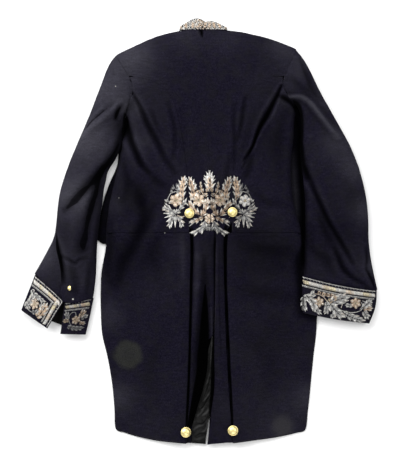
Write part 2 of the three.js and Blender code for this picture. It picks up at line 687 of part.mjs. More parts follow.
const frontSeam = 26; // how far the forearm seam lies below the inner edge
const sleeveEnd = { left: 0.996, right: 0.9995 }; // share of its length at which each sleeve meets its cuff
function sleevePieces(side) {
  const sleeve = tube(sleeveRows[side], sleeveFolds[side]);
  const hind = column(hindArmRows[side], 'v', 'at');
  const half = seam * 0.65; // a little more than half a seam, for the curve between sections
  const upper = (u, v) => {
    const { crest } = sleeve.section(v);
    return sleeve.at(v, lerp(hind(v) * crest + half, crest + frontSeam - half, u));
  };
  const lower = (u, v) => {
    const { crest, whole } = sleeve.section(v);
    const flat = lerp(crest + frontSeam + half, whole - 7, Math.min(u / 0.7, 1));
    const rest = 7 + hind(v) * crest - half;
    return sleeve.at(v, flat + rest * Math.max((u - 0.7) / 0.3, 0) ** 1.7);
  };
  const along = between(0.002, sleeveEnd[side], even(18));
  const upperAcross = [0, 0.06, 0.16, 0.32, 0.5, 0.66, 0.76, 0.84, 0.92, 1];
  const lowerAcross = [0, 0.35, 0.7, 0.78, 0.86, 0.93, 1];
  add(`undersleeve_${side}`, cloth(upper, upperAcross, along), woolLight);
  add(`topsleeve_${side}`, cloth(lower, lowerAcross, along), wool);
}

// Levels of each cuff, and those that its raised work covers
const cuffLevels = [0.002, 0.05, 0.5, 0.92, 1];
const laceLevels = cuffLevels.slice(1, 4);
const laceLow = wall / 2 + seam;

// Right cuff, a closed round band, and the raised work on its upper face
function rightCuff() {
  const cuff = tube(cuffRightRows, []);
  const round = (u, v) => {
    const { crest, whole } = cuff.section(v);
    const start = 0.02 * crest;
    return cuff.at(v, lerp(start + 0.5, whole + start - 0.5, u));
  };
  const upper = between(0.02, 0.5, even(12));
  const across = joined(0, upper, 0.56, 0.62, 0.8, 0.94, 0.97, 1);
  add('cuff_right', cloth(round, across, cuffLevels), wool);
  const lace = cloth(round, upper.slice(0, -1), laceLevels, laceLow, laceLow + laceWall);
  add('cuff_embroidery_right', lace, metalThread);
}

// Left cuff: from its outer end's opening edge, under the wrist, to the inner end's opening edge
function leftCuff() {
  const c = cuffLeft;
  const edgeRound = 9;
  const plan = (top, hem, v) => v3(lerp(top[0], hem[0], v), lerp(top[1], hem[1], v), 0);
  const loop = (v) => {
    const crest = lerp(c.crownTop, c.crownHem, v) - wall / 2;
    const open = plan(c.openTop, c.openHem, v);
    const outer = plan(c.outerTop, c.outerHem, v);
    const inner = plan(c.innerTop, c.innerHem, v);
    const under = plan(c.underOpenTop, c.underOpenHem, v);
    const at = (a, b, share, z) => a.clone().lerp(b, share).setZ(z);
    return new THREE.CatmullRomCurve3([
      at(open, outer, 0, crest - 3),
      at(open, outer, 0.4, crest),
      at(open, outer, 0.7, crest - 2),
      at(open, outer, 1, edgeRound),
      at(outer, inner, 0.09, wall / 2 + 0.2),
      at(outer, inner, 0.3, wall / 2),
      at(outer, inner, 0.7, wall / 2),
      at(outer, inner, 0.91, wall / 2 + 0.2),
      at(inner, under, 0, edgeRound),
      at(inner, under, 0.35, crest - 3),
      at(inner, under, 1, crest - 6),
    ], false, 'centripetal');
  };
  const loops = new Map();
  const surface = (u, v) => {
    if (!loops.has(v)) loops.set(v, loop(v));
    return loops.get(v).getPoint(u);
  };
  const outerEnd = between(0, 0.26, even(6));
  const innerEnd = between(0.84, 1, even(5));
  add('cuff_left', cloth(surface, joined(outerEnd, between(0.31, 0.8, even(8)), innerEnd), cuffLevels), wool);
  for (const [name, us] of [['outer', outerEnd.slice(0, -1)], ['inner', innerEnd.slice(1)]]) {
    const lace = cloth(surface, us, laceLevels, -laceLow - laceWall, -laceLow);
    add(`cuff_embroidery_left_${name}`, lace, metalThread);
  }
}

// Standing collar: a flattened ring open at the throat
function collar() {
  const surface = (u, v) => {
    const angle = -Math.PI / 2 + 0.012 + u * (2 * Math.PI - 0.024);
    const upper = Math.sin(angle) >= 0;
    const power = 2 / (upper ? 2 : 4.5);
    const cosine = Math.sign(Math.cos(angle)) * Math.abs(Math.cos(angle)) ** power;
    const sine = Math.abs(Math.sin(angle)) ** power;
    const x = neck.x + neck.halfWidth * cosine;
    const z = upper ? neck.mid + (neck.top - neck.mid) * sine : neck.mid - (neck.mid - wall / 2) * sine;
    const base = neck.y + 2 * seam + 1.8 * smoothstep(Math.abs(cosine), 0.7, 1);
    return v3(x, base + collarReach(x) * v, z);
  };
  const around = even(24);
  add('collar', cloth(surface, around, [0, 0.08, 0.5, 0.96, 1]), wool);
  const lace = cloth(surface, around.slice(7, 18), [0.08, 0.5, 0.96], -laceLow - laceWall, -laceLow);
  add('collar_embroidery', lace, metalThread);
}

// Raised work across the back waist, cut where the seams cross it
function waistEmbroidery() {
  const left = sideBack('left')(80) - sprayCentre;
  const right = sideBack('right')(80) - sprayCentre;
  const cuts = [
    { name: 'waist_embroidery_left', from: -112, to: left - seam },
    { name: 'waist_embroidery_centre_left', from: left + seam, to: 24.4 - sprayCentre - seam },
    { name: 'waist_embroidery_centre_right', from: 24.4 - sprayCentre + seam, to: right - seam },
    { name: 'waist_embroidery_right', from: right + seam, to: 112 },
  ];
  for (const { name, from, to } of cuts) {
    const surface = (u, v) => {
      const x = lerp(from, to, u);
      const y = lerp(sprayBottom(x), sprayTop(x), v);
      return v3(sprayCentre + x, y, bodyHeight(sprayCentre + x, y));
    };
    const low = wall / 2 + seam + 0.2;
    add(name, cloth(surface, even(4), even(6), low, low + laceWall), metalThread);
  }
}

// Domed buttons
function button({ radius, height }) {
  const rim = 1.2;
  const profile = [[0, 0], [radius * 0.82, 0], [radius, rim]].map(([x, y]) => new THREE.Vector2(x, y));
  for (const angle of [30, 60]) {
    const turn = THREE.MathUtils.degToRad(angle);
    profile.push(new THREE.Vector2(radius * Math.cos(turn), rim + (height - rim) * Math.sin(turn)));
  }
  profile.push(new THREE.Vector2(0, height));
  return new THREE.LatheGeometry(profile, 12).rotateX(Math.PI / 2);
}

for (const side of sides) {
  add(`back_${side}`, backPanel(side), wool);
  add(`side_body_${side}`, sideBody(side), woolLight);
  add(`skirt_${side}`, skirt(side), wool);
  add(`pleat_${side}`, pleatUnderlay(side), woolLight);
  add(`front_${side}`, forepart(side), woolLight);
  sleevePieces(side);
}

// Satin facing of the left tail, where it shows in the open vent
const facingInner = (y) => Math.max(facingLeft(y), valleyLine(y) + 5);
const facingFoot = (u) => hemLine(lerp(facingInner(-505), facingRight(-505), u));
const facingTop = facingRows[facingRows.length - 1].y;
const facingLevel = (u, v) => lerp(facingFoot(u), facingTop, v);
const facingSurface = panel(facingInner, facingRight, facingLevel, () => liftOverFront);
add('vent_lining_left', cloth(facingSurface, even(2), even(12)), satin);

collar();
rightCuff();
leftCuff();
waistEmbroidery();

// Buttons: at the hips on the raised work, at the feet of the pleats, and one at the open cuff
const buttonPlaces = [
  { name: 'hip_button_left', size: hipButton, x: -26, y: 44, z: bodyHeight(-26, 44) + onLace },
  { name: 'hip_button_right', size: hipButton, x: 77, y: 47, z: bodyHeight(77, 47) + onLace },
  { name: 'hem_button_left', size: hemButton, x: -35, y: -482, z: hemButtonSeat },
  { name: 'hem_button_right', size: hemButton, x: 78.5, y: -478, z: hemButtonSeat },
];
for (const { name, size, x, y, z } of buttonPlaces) add(name, button(size), gilt).position.set(x, y, z);
const small = add('cuff_button_left', button(cuffButton), gilt);
small.position.set(cuffButtonSeat.x, cuffButtonSeat.y, cuffButtonSeat.z);
small.rotation.set(0, THREE.MathUtils.degToRad(cuffButtonSeat.lean), 0);

// The coat's frame: origin under the middle of its outline, on the surface it lies on
const bounds = new THREE.Box3().setFromObject(coat);
const middle = bounds.getCenter(v3(0, 0, 0));
coat.position.set(-middle.x, -middle.y, -bounds.min.z);

export default coat;
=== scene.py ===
import math
import random

import bmesh
import bpy
import numpy as np
from mathutils import Matrix, Vector, noise
from mathutils.bvhtree import BVHTree
from mathutils.kdtree import KDTree


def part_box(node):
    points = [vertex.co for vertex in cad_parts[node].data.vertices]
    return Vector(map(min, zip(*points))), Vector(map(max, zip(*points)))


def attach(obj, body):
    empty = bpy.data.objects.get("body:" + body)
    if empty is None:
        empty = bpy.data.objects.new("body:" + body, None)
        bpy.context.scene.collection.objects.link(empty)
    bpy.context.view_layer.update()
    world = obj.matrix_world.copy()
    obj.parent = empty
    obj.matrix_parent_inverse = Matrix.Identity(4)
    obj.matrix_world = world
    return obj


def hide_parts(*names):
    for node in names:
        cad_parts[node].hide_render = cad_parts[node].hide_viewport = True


# An embroidered uniform tail coat, laid flat on its front with its back up.
# Lengths in the tables are millimetres on the cutting plan, X across the coat and Y up to its collar.
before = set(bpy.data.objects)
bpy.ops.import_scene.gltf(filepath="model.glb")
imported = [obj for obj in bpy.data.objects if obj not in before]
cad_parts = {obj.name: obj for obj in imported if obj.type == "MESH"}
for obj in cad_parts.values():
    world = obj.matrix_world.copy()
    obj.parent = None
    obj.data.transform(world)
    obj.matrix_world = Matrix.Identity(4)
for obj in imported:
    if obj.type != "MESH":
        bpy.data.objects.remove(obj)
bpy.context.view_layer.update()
scene = bpy.context.scene
mm = 0.001

# The plan is placed by the left hip button, whose centre it has at (-26, 44)
hipLow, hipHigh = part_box("hip_button_left")
planOrigin = (hipLow + hipHigh) / 2 - Vector((-26, 44, 0)) * mm
planOrigin.z = 0


def onPlan(x, y, z=0.0):
    return planOrigin + Vector((x, y, z)) * mm


def pieceName(node):
    first, *others = node.split("_")
    return first + "".join(word.title() for word in others)


def newObject(name, mesh, material=None):
    piece = bpy.data.objects.new(name, mesh)
    scene.collection.objects.link(piece)
    if material is not None:
        mesh.materials.append(material)
    return piece


def handOver(piece, node):
    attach(piece, "root")
    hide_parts(node)
    return piece


def settled(piece):
    # the piece as its modifiers make it, as a plain mesh
    bpy.context.view_layer.update()
    graph = bpy.context.evaluated_depsgraph_get()
    mesh = bpy.data.meshes.new_from_object(
        piece.evaluated_get(graph), preserve_all_data_layers=True, depsgraph=graph
    )
    piece.modifiers.clear()
    old = piece.data
    piece.data = mesh
    mesh.name = piece.name
    if old.users == 0:
        bpy.data.meshes.remove(old)
    return piece


def fill(tree, node, inputs):
    # each input from another node's socket, or a plain value
    for key, value in inputs.items():
        if isinstance(value, bpy.types.NodeSocket):
            tree.links.new(value, node.inputs[key])
        else:
            node.inputs[key].default_value = value


def addNode(tree, kind, inputs=None, **settings):
    node = tree.nodes.new(kind)
    for name, value in settings.items():
        setattr(node, name, value)
    fill(tree, node, inputs or {})
    return node


def calc(tree, operation, *values):
    return addNode(tree, "ShaderNodeMath", dict(enumerate(values)), operation=operation).outputs[0]


def sums(tree, *kinds):
    # a short function for each kind of sum, for two sockets or numbers
    return [lambda *values, kind=kind: calc(tree, kind, *values) for kind in kinds]


def vectorSum(tree, operation, first, second):
    return addNode(tree, "ShaderNodeVectorMath", {0: first, 1: second}, operation=operation).outputs[0]


def mixColours(tree, share, first, second, blend="MIX"):
    inputs = {0: share, 6: first, 7: second}
    return addNode(tree, "ShaderNodeMix", inputs, data_type="RGBA", blend_type=blend).outputs[2]


def dimmed(tree, colour, share):
    grey = addNode(tree, "ShaderNodeCombineColor", {0: share, 1: share, 2: share}).outputs[0]
    return mixColours(tree, 1.0, colour, grey, "MULTIPLY")


def spread(tree, value, low, high, outLow=0.0, outHigh=1.0):
    node = addNode(tree, "ShaderNodeMapRange", {0: value, 1: low, 2: high, 3: outLow, 4: outHigh})
    node.interpolation_type = "SMOOTHSTEP"
    return node.outputs[0]


def noiseOf(tree, where, perMetre, detail=2.0, roughness=0.5):
    inputs = {"Vector": where, "Scale": perMetre, "Detail": detail, "Roughness": roughness}
    return addNode(tree, "ShaderNodeTexNoise", inputs).outputs["Fac"]


def newGroup(name, points, values, results):
    # a group of nodes that takes some points and some values and gives some values
    group = bpy.data.node_groups.new(name, "ShaderNodeTree")
    for label in points:
        group.interface.new_socket(label, in_out="INPUT", socket_type="NodeSocketVector")
    for label, value in values.items():
        socket = group.interface.new_socket(label, in_out="INPUT", socket_type="NodeSocketFloat")
        socket.default_value = value
    for label in results:
        group.interface.new_socket(label, in_out="OUTPUT", socket_type="NodeSocketFloat")
    return group, group.nodes.new("NodeGroupInput").outputs, group.nodes.new("NodeGroupOutput").inputs


def useGroup(tree, group, inputs):
    return addNode(tree, "ShaderNodeGroup", inputs, node_tree=group).outputs


def newMaterial(name, **fixed):
    material = bpy.data.materials.new(name)
    material.use_nodes = True
    shader = material.node_tree.nodes["Principled BSDF"]
    for label, value in fixed.items():
        shader.inputs[label.replace("_", " ")].default_value = value
    return material, material.node_tree, shader


def objectPoint(tree):
    return tree.nodes.new("ShaderNodeTexCoord").outputs["Object"]


def attribute(tree, name):
    return addNode(tree, "ShaderNodeAttribute", attribute_name=name).outputs["Fac"]


def shaded(tree, colour):
    # painted shade: the colour darkened by the shade attribute, in folds, dark places and on under sides
    return dimmed(tree, colour, attribute(tree, "shade"))


def feed(tree, shader, **sockets):
    for label, socket in sockets.items():
        tree.links.new(socket, shader.inputs[label.replace("_", " ")])


def bump(tree, height, strength, distance, normal=None):
    inputs = {"Height": height, "Strength": strength, "Distance": distance}
    if normal is not None:
        inputs["Normal"] = normal
    return addNode(tree, "ShaderNodeBump", inputs).outputs["Normal"]


# Effects that several finishes share

def mottleGroup():
    # uneven dye and nap: fibre, mottle, clouds, broad fading and the weft's level streaks
    sizes = {"Fibre": 1400.0, "Mottle": 250.0, "Broad": 9.0, "Cloud": 46.0, "Streak": 240.0}
    group, given, out = newGroup("mottle", ["Point"], sizes, sizes)
    point = given["Point"]
    stretched = vectorSum(group, "MULTIPLY", point, (1.0, 0.45, 1.0))
    level = vectorSum(group, "MULTIPLY", point, (0.22, 1.0, 1.0))
    for label, where, detail in (("Fibre", stretched, 2.0), ("Mottle", point, 3.0), ("Broad", point, 2.0),
                                 ("Cloud", point, 2.0), ("Streak", level, 2.0)):
        group.links.new(noiseOf(group, where, given[label], detail, 0.6), out[label])
    return group


def spotGroup():
    # 1 inside a round spot with an uneven edge, 0 outside, and 1 on its rim
    values = {"Radius": 0.03, "Soft": 0.012, "Uneven": 0.0025}
    group, given, out = newGroup("spot", ["Point", "Centre"], values, ["Inside", "Rim"])
    plus, minus, times, over = sums(group, "ADD", "SUBTRACT", "MULTIPLY", "DIVIDE")
    point = given["Point"]
    flat = vectorSum(group, "SUBTRACT", point, given["Centre"])
    level = vectorSum(group, "MULTIPLY", flat, (1.0, 1.0, 0.0))
    far = addNode(group, "ShaderNodeVectorMath", {0: level}, operation="LENGTH").outputs["Value"]
    wobble = times(minus(noiseOf(group, point, 60.0), 0.5), given["Uneven"])
    share = over(minus(given["Radius"], plus(far, times(wobble, 4.0))), given["Soft"])
    group.links.new(spread(group, share, -1.0, 1.0), out["Inside"])
    group.links.new(spread(group, calc(group, "ABSOLUTE", share), 1.2, 0.0), out["Rim"])
    return group


def threadGroup():
    # close parallel threads across a piece, from its own UV map in millimetres
    values = {"Pitch": 0.8, "Slant": 0.5, "Wander": 0.3}
    group, given, out = newGroup("threads", ["UV"], values, ["Height", "Mask"])
    plus, times, over = sums(group, "ADD", "MULTIPLY", "DIVIDE")
    parts = addNode(group, "ShaderNodeSeparateXYZ", {0: given["UV"]}).outputs
    leaning = plus(parts[0], times(parts[1], given["Slant"]))
    wander = times(noiseOf(group, given["UV"], 0.9), given["Wander"])
    turns = over(plus(leaning, wander), given["Pitch"])
    height = plus(times(calc(group, "SINE", times(turns, 2 * math.pi)), 0.5), 0.5)
    group.links.new(height, out["Height"])
    group.links.new(spread(group, height, 0.0, 0.55), out["Mask"])
    return group


mottle, spot, threads = mottleGroup(), spotGroup(), threadGroup()

# Finishes
wool = {
    "deep": (0.0049, 0.0042, 0.0096, 1),
    "worn": (0.0081, 0.0071, 0.0139, 1),
    "faded": (0.0100, 0.0095, 0.0126, 1),
    "grey": (0.0075, 0.0071, 0.0096, 1),
    "bleachedAndHighlit": (0.034, 0.033, 0.042, 1),  # where a place is wholly faded, or at its full painted highlight
    "rubbed": (0.030, 0.028, 0.030, 1),  # along its free edges
    "sheen": 0.005,
    "sheenTint": (0.80, 0.80, 0.90, 1),
    "clouds": [("Broad", 0.45, 0.75, 0.45, "faded"), ("Cloud", 0.42, 0.66, 0.6, "grey")],
    "turnings": 7.0,  # how far the turnings under a seam reach
    "stain": {"centre": (-173.5, -296), "radius": 27, "colour": (0.022, 0.023, 0.019, 1)},
    "patch": {"centre": (199, -470), "radius": 24, "colour": (0.026, 0.025, 0.028, 1)},
    # specks of lint, and at (-305, -161.5) a painted glint
    "lint": [(-305, -161.5, 2.0), (-202, 347, 1.1), (-195, 81, 0.8), (-85, -3, 1.2)],
    "lintAndGlintColour": (0.42, 0.41, 0.38, 1),
}


def woolMaterial():
    finish, tree, shader = newMaterial("broadcloth", Roughness=0.9, Specular_IOR_Level=0.008,
                                       Sheen_Weight=wool["sheen"], Sheen_Tint=wool["sheenTint"],
                                       Sheen_Roughness=0.5)
    plus, minus, times = sums(tree, "ADD", "SUBTRACT", "MULTIPLY")
    point = objectPoint(tree)
    uneven = useGroup(tree, mottle, {"Point": point})
    edge, fade = attribute(tree, "edge"), attribute(tree, "fade")
    colour = mixColours(tree, spread(tree, uneven["Mottle"], 0.38, 0.66), wool["deep"], wool["worn"])
    for label, low, high, much, tint in wool["clouds"]:
        colour = mixColours(tree, spread(tree, uneven[label], low, high, 0.0, much), colour, wool[tint])
    # lighter where faded, and painted highlight on ridges, shoulders and the sleeves' outer sides
    colour = mixColours(tree, fade, colour, wool["bleachedAndHighlit"])
    colour = dimmed(tree, colour, spread(tree, uneven["Streak"], 0.3, 0.72, 0.88, 1.15))
    rubbed = times(spread(tree, edge, 2.0, 0.0), times(uneven["Mottle"], 0.6))
    colour = mixColours(tree, rubbed, colour, wool["rubbed"])
    for label, part, much in (("stain", "Inside", 0.55), ("stain", "Rim", 0.5), ("patch", "Inside", 0.75)):
        row = wool[label]
        place = {"Point": point, "Centre": onPlan(*row["centre"]), "Radius": row["radius"] * mm}
        mark = useGroup(tree, spot, place)
        colour = mixColours(tree, times(mark[part], much), colour, row["colour"])
    colour = dimmed(tree, colour, spread(tree, uneven["Fibre"], 0.3, 0.75, 0.55, 1.5))
    for x, y, radius in wool["lint"]:
        mark = useGroup(tree, spot, {"Point": point, "Centre": onPlan(x, y), "Radius": radius * mm,
                                     "Soft": 0.4 * mm, "Uneven": 0.0})
        share = times(mark["Inside"], spread(tree, attribute(tree, "shade"), 0.36, 0.5, 0.0, 0.8))
        colour = mixColours(tree, share, colour, wool["lintAndGlintColour"])
    colour = shaded(tree, colour)
    rough = spread(tree, uneven["Mottle"], 0.3, 0.7, 0.82, 0.96)
    beside = calc(tree, "ABSOLUTE", minus(attribute(tree, "seam"), wool["turnings"]))
    turnings = spread(tree, beside, 2.0, 0.0)
    relief = plus(uneven["Fibre"], times(uneven["Mottle"], 1.6))
    normal = bump(tree, turnings, 0.35, 0.6 * mm, bump(tree, relief, 0.6, 0.5 * mm))
    feed(tree, shader, Base_Color=colour, Roughness=rough, Normal=normal)
    return finish


lining = {
    "deep": (0.0034, 0.0034, 0.0034, 1),
    "light": (0.012, 0.012, 0.012, 1),
    "lit": (0.07, 0.07, 0.07, 1),  # painted highlight along a crease's ridge
}


def satinMaterial():
    finish, tree, shader = newMaterial("blackSatin", Roughness=0.5, Specular_IOR_Level=0.05)
    uneven = useGroup(tree, mottle, {"Point": objectPoint(tree), "Fibre": 1900.0, "Mottle": 90.0})
    colour = mixColours(tree, spread(tree, uneven["Mottle"], 0.35, 0.7), lining["deep"], lining["light"])
    colour = mixColours(tree, attribute(tree, "fade"), colour, lining["lit"])
    feed(tree, shader, Base_Color=shaded(tree, colour),
         Roughness=spread(tree, uneven["Fibre"], 0.3, 0.7, 0.42, 0.56),
         Normal=bump(tree, uneven["Fibre"], 0.25, 0.2 * mm))
    return finish


thread = {
    "tints": [(0.0, (0.030, 0.028, 0.030)), (0.22, (0.30, 0.30, 0.31)), (0.36, (0.54, 0.54, 0.53)),
              (0.45, (0.84, 0.83, 0.79)), (0.52, (1.0, 0.98, 0.93)), (0.62, (0.90, 0.74, 0.58)),
              (0.70, (0.83, 0.62, 0.44)), (0.80, (0.44, 0.32, 0.24)), (1.0, (0.98, 0.88, 0.62))],
    "metal": 0.72,
    "foot": 0.22,  # how bright it stays in the painted shade round its foot
    "tarnish": (0.10, 0.085, 0.075, 1),
    "pitch": 0.75,
}


def threadMaterial():
    finish, tree, shader = newMaterial("metalThread", Metallic=thread["metal"], Roughness=0.45,
                                       Specular_IOR_Level=0.5)
    plus, times = sums(tree, "ADD", "MULTIPLY")
    ramp = tree.nodes.new("ShaderNodeValToRGB")
    points = ramp.color_ramp.elements
    while len(points) < len(thread["tints"]):
        points.new(0.5)
    for element, (place, colour) in zip(points, thread["tints"]):
        element.position = place
        element.color = (*colour, 1)
    tree.links.new(attribute(tree, "tint"), ramp.inputs[0])
    uvMap = tree.nodes.new("ShaderNodeUVMap").outputs[0]
    lines = useGroup(tree, threads, {"UV": uvMap, "Pitch": thread["pitch"]})
    uneven = useGroup(tree, mottle, {"Point": objectPoint(tree), "Fibre": 700.0, "Mottle": 240.0})
    tarnish = spread(tree, uneven["Mottle"], 0.62, 0.40, 0.0, 0.40)
    colour = mixColours(tree, tarnish, ramp.outputs[0], thread["tarnish"])
    shade = times(plus(times(lines["Mask"], 0.6), 0.4), attribute(tree, "bright"))
    # painted shade round each pad's foot, where it meets the cloth
    crown = spread(tree, attribute(tree, "crown"), -0.05, 0.34, thread["foot"], 1.0)
    feed(tree, shader, Base_Color=dimmed(tree, colour, times(shade, crown)),
         Roughness=spread(tree, uneven["Mottle"], 0.3, 0.7, 0.55, 0.34),
         Normal=bump(tree, lines["Height"], 0.8, 0.35 * mm))
    return finish


gilt = {"deep": (0.90, 0.75, 0.32, 1), "light": (1.0, 0.88, 0.46, 1)}


def giltMaterial():
    finish, tree, shader = newMaterial("giltBrass", Metallic=1.0, Roughness=0.5)
    uneven = useGroup(tree, mottle, {"Point": objectPoint(tree), "Fibre": 900.0, "Mottle": 320.0})
    colour = mixColours(tree, spread(tree, uneven["Mottle"], 0.38, 0.7), gilt["deep"], gilt["light"])
    feed(tree, shader, Base_Color=colour, Roughness=spread(tree, uneven["Fibre"], 0.35, 0.7, 0.42, 0.58),
         Normal=bump(tree, uneven["Mottle"], 0.12, 0.3 * mm))
    return finish


broadcloth, satin = woolMaterial(), satinMaterial()
metalThread, giltBrass = threadMaterial(), giltMaterial()
print("finishes made")

# Folds: the line each follows, its half width (one for all its length, or some along it), how high it stands
# (below 0 for a trough), what share of that goes the other way beside it, how dark the cloth is painted in it
# (painted shade; below 0 a painted highlight), and how square it is across, where not a round 2
bodyFolds = [
    ([(-170, 345), (-150, 310), (-138, 285), (-125, 255), (-110, 228), (-98, 204), (-86, 178), (-60, 140)],
     (3, 4, 5, 6, 7, 6, 6, 8), -4.5, 0.6, 0.75),
    ([(-187, 300), (-183, 270), (-174, 238), (-165, 214), (-152, 184), (-140, 160), (-122, 140)],
     (4, 8, 10, 7, 6.5, 6.5, 5), -8, 0.45, 1.25),
    ([(-118, 290), (-104, 255), (-90, 222)], 5, -1.6, 0.5, 0.3),
    ([(-76, 306), (-68, 280), (-62, 250), (-60, 215), (-66, 172)], 5, -2, 0.4, 0.4),
    ([(-40, 306), (-42, 230), (-44, 170)], 12, -1, 0.3, 0.12),
    ([(194, 348), (181, 320), (168, 294), (158, 276), (144, 252), (133, 226), (124, 202), (104, 172)],
     (3, 4.5, 5.5, 6, 4.6, 3.6, 3, 2.4), -8, 0.5, 1.8),
    ([(140, 240), (119, 190), (98, 149)], (2, 3, 2.5), -1.5, 0.3, 0.7),
    ([(122, 190), (117, 150), (106, 128)], 8, -3, 0.3, 0.45),
    ([(109, 322), (103, 290), (98, 255), (90, 218)], 5, -2.4, 0.4, 0.5),
    ([(84, 304), (80, 260), (83, 218), (80, 150)], 5, -1.6, 0.4, 0.35),
    ([(60, 120), (66, 150), (72, 190)], 6, -1.2, 0.3, 0.3),
    ([(190, 325), (205, 317), (222, 306), (234, 292)], 5, -5, 0.3, 1.4),
    ([(236, 300), (237, 240), (237, 200), (239, 160)], (6, 6, 6, 5), -3, 0, 2.6),
    ([(239, 180), (243, 130), (246, 60), (248, -20), (249, -80)], (5, 4.5, 4, 4, 6), -3, 0, 2.2),
    ([(-186, 170), (-178, 138), (-174, 108), (-184, 70)], 9, -3, 0.3, 0.4),
    ([(-122, 140), (-100, 118), (-84, 108)], 8, -2.2, 0.3, 0.45),
    ([(-160, 112), (-142, 76), (-134, 36), (-150, -8)], 12, -4.5, 0.35, 0.5),
    ([(-112, 60), (-124, 26), (-144, -6), (-162, -40), (-186, -80), (-198, -126)],
     (8, 12, 13, 12, 12, 12), -4.5, 0.3, 0.55),
    ([(-216, 40), (-218, -20), (-224, -90), (-214, -130)], 11, -2.5, 0.2, 0.4),
    ([(210, 292), (196, 220), (200, 120)], 14, -4, 0.2, 0.15),
    ([(120, 100), (160, 70), (206, 64)], 10, -2, 0.4, 0.2),
    ([(98, -34), (150, -44), (215, -48)], 13, -1.6, 0.4, 0.3),
    ([(96, -140), (150, -150), (230, -158)], 17, -1.5, 0.3, 0.28),
    ([(250, -30), (240, -70), (243, -140), (246, -196)], (4, 12, 10, 12), -1, 0, 1.0),
    ([(250, -196), (300, -206)], 12, 0, 0, 0.6),
    ([(-44, 0), (-42, -60), (-41, -130)], 7, 1.2, 0, -0.35),
    ([(-100, -10), (-112, -60), (-96, -130)], 16, -1.4, 0.3, 0.2),
    ([(-86, -260), (-120, -330), (-104, -420)], 20, -1.5, 0.3, 0.12),
    ([(120, -250), (170, -330), (150, -430)], 22, -1.5, 0.3, 0.12),
    ([(0, 490), (2.5, 480), (4.5, 467)], (5, 3.4, 1.6), -2, 0, 3.0),
]
armpitLight = [([(228, 190), (229, 120), (233, 60), (236, 0)], (7, 8, 6, 4), 0, 0, -1.8)]
tailFolds = [  # shade under the right tail's edge
    ([(34.5, 6), (34.5, -90), (34, -166)], 1.6, -0.8, 0, 1.6),
    ([(33.5, -150), (33, -220), (31, -290), (30.6, -314), (30, -349), (29, -384), (24.5, -419), (23, -437),
      (22, -470)], (1.2, 1.4, 2.4, 2.8, 3.9, 3.6, 3.4, 2.6, 1.6), -1.0, 0, 4.5, 4),
]
# the rolled valley of the open vent, painted near black as shade
ventFolds = tailFolds + [
    ([(12, -128), (12, -170), (11, -210), (10, -254), (6, -300), (4, -336), (-1, -368), (-9, -405),
      (-19, -443), (-29, -478)], (1, 5, 8, 10, 11, 11, 11.5, 10.5, 8, 4), -3, 0, 5.0, 6),
    ([(10, -60), (10, -120), (8, -180), (5, -240), (0, -300), (-6, -360), (-16, -410)],
     (5, 9, 12, 13, 13, 12, 8), -1.5, 0, 0.7),
    ([(25, -160), (27, -210), (28.5, -250), (29, -290)], 1.5, 0.8, 0, -0.5),
    ([(-10, -10), (-9, -70), (-10, -160), (-16, -260)], 7, 1.2, 0, -0.3),
]
# painted shade: the pleat painted near black where it floors the vent's valley
valleyShade = [
    ([(14, -200), (12, -300), (0, -370), (-18, -440), (-30, -500)], (12, 18, 19, 16, 8), 0, 0, 6.0, 6),
]
# satin wrinkles, with painted highlight on their ridges and painted shade in their troughs
satinFolds = ventFolds + [
    (line, wide, deep, 0.5, -0.36 * deep) for line, wide, deep in (
        ([(29, -262), (26, -300), (23, -336)], 1.6, 1.2), ([(25, -332), (18, -360), (12, -374)], 1.5, 1.3),
        ([(23, -350), (19, -372), (9, -398)], 1.3, -1.9), ([(24, -384), (17, -398), (6, -410)], 1.5, 1.8),
        ([(21, -396), (8, -421), (-3, -428)], 1.8, -2.3), ([(12, -416), (2, -436), (-9, -446)], 1.8, 1.5),
        ([(21, -424), (14, -436), (3, -444)], 2.3, 2.3), ([(18, -444), (4, -463), (-12, -460)], 1.7, -2.3),
        ([(6, -466), (-6, -470), (-17, -478)], 2.4, 2.0), ([(17, -456), (12, -476), (2, -484)], 2.0, 1.8),
        ([(13, -488), (0, -486), (-14, -494)], 1.5, -1.8), ([(8, -494), (-6, -500), (-18, -500)], 2.4, 1.4))
]
pleatFolds = [  # shade where the skirts' folds turn under, on the tail strips and the pleats below
    ([(-20.5, 6), (-20.5, -60), (-22, -120), (-24, -220), (-27, -330), (-31, -420), (-34, -470)],
     (3, 2.8, 2.6, 2.4, 2.3, 2.2, 2.0), -1.5, 0, 4.0, 4),
    ([(61, 12), (60, -60), (61.5, -140), (66, -245), (71, -349), (76, -440), (78, -478)],
     (3.6, 3.2, 2.9, 2.8, 2.7, 2.4, 1.6), -1.5, 0, 4.5, 4),
    ([(57, 0), (54, -120), (58, -260), (64, -400)], 8, 0, 0, 0.12),
    ([(46, -20), (46, -160), (50, -300)], 2.6, -0.6, 0.4, 0.3),
]
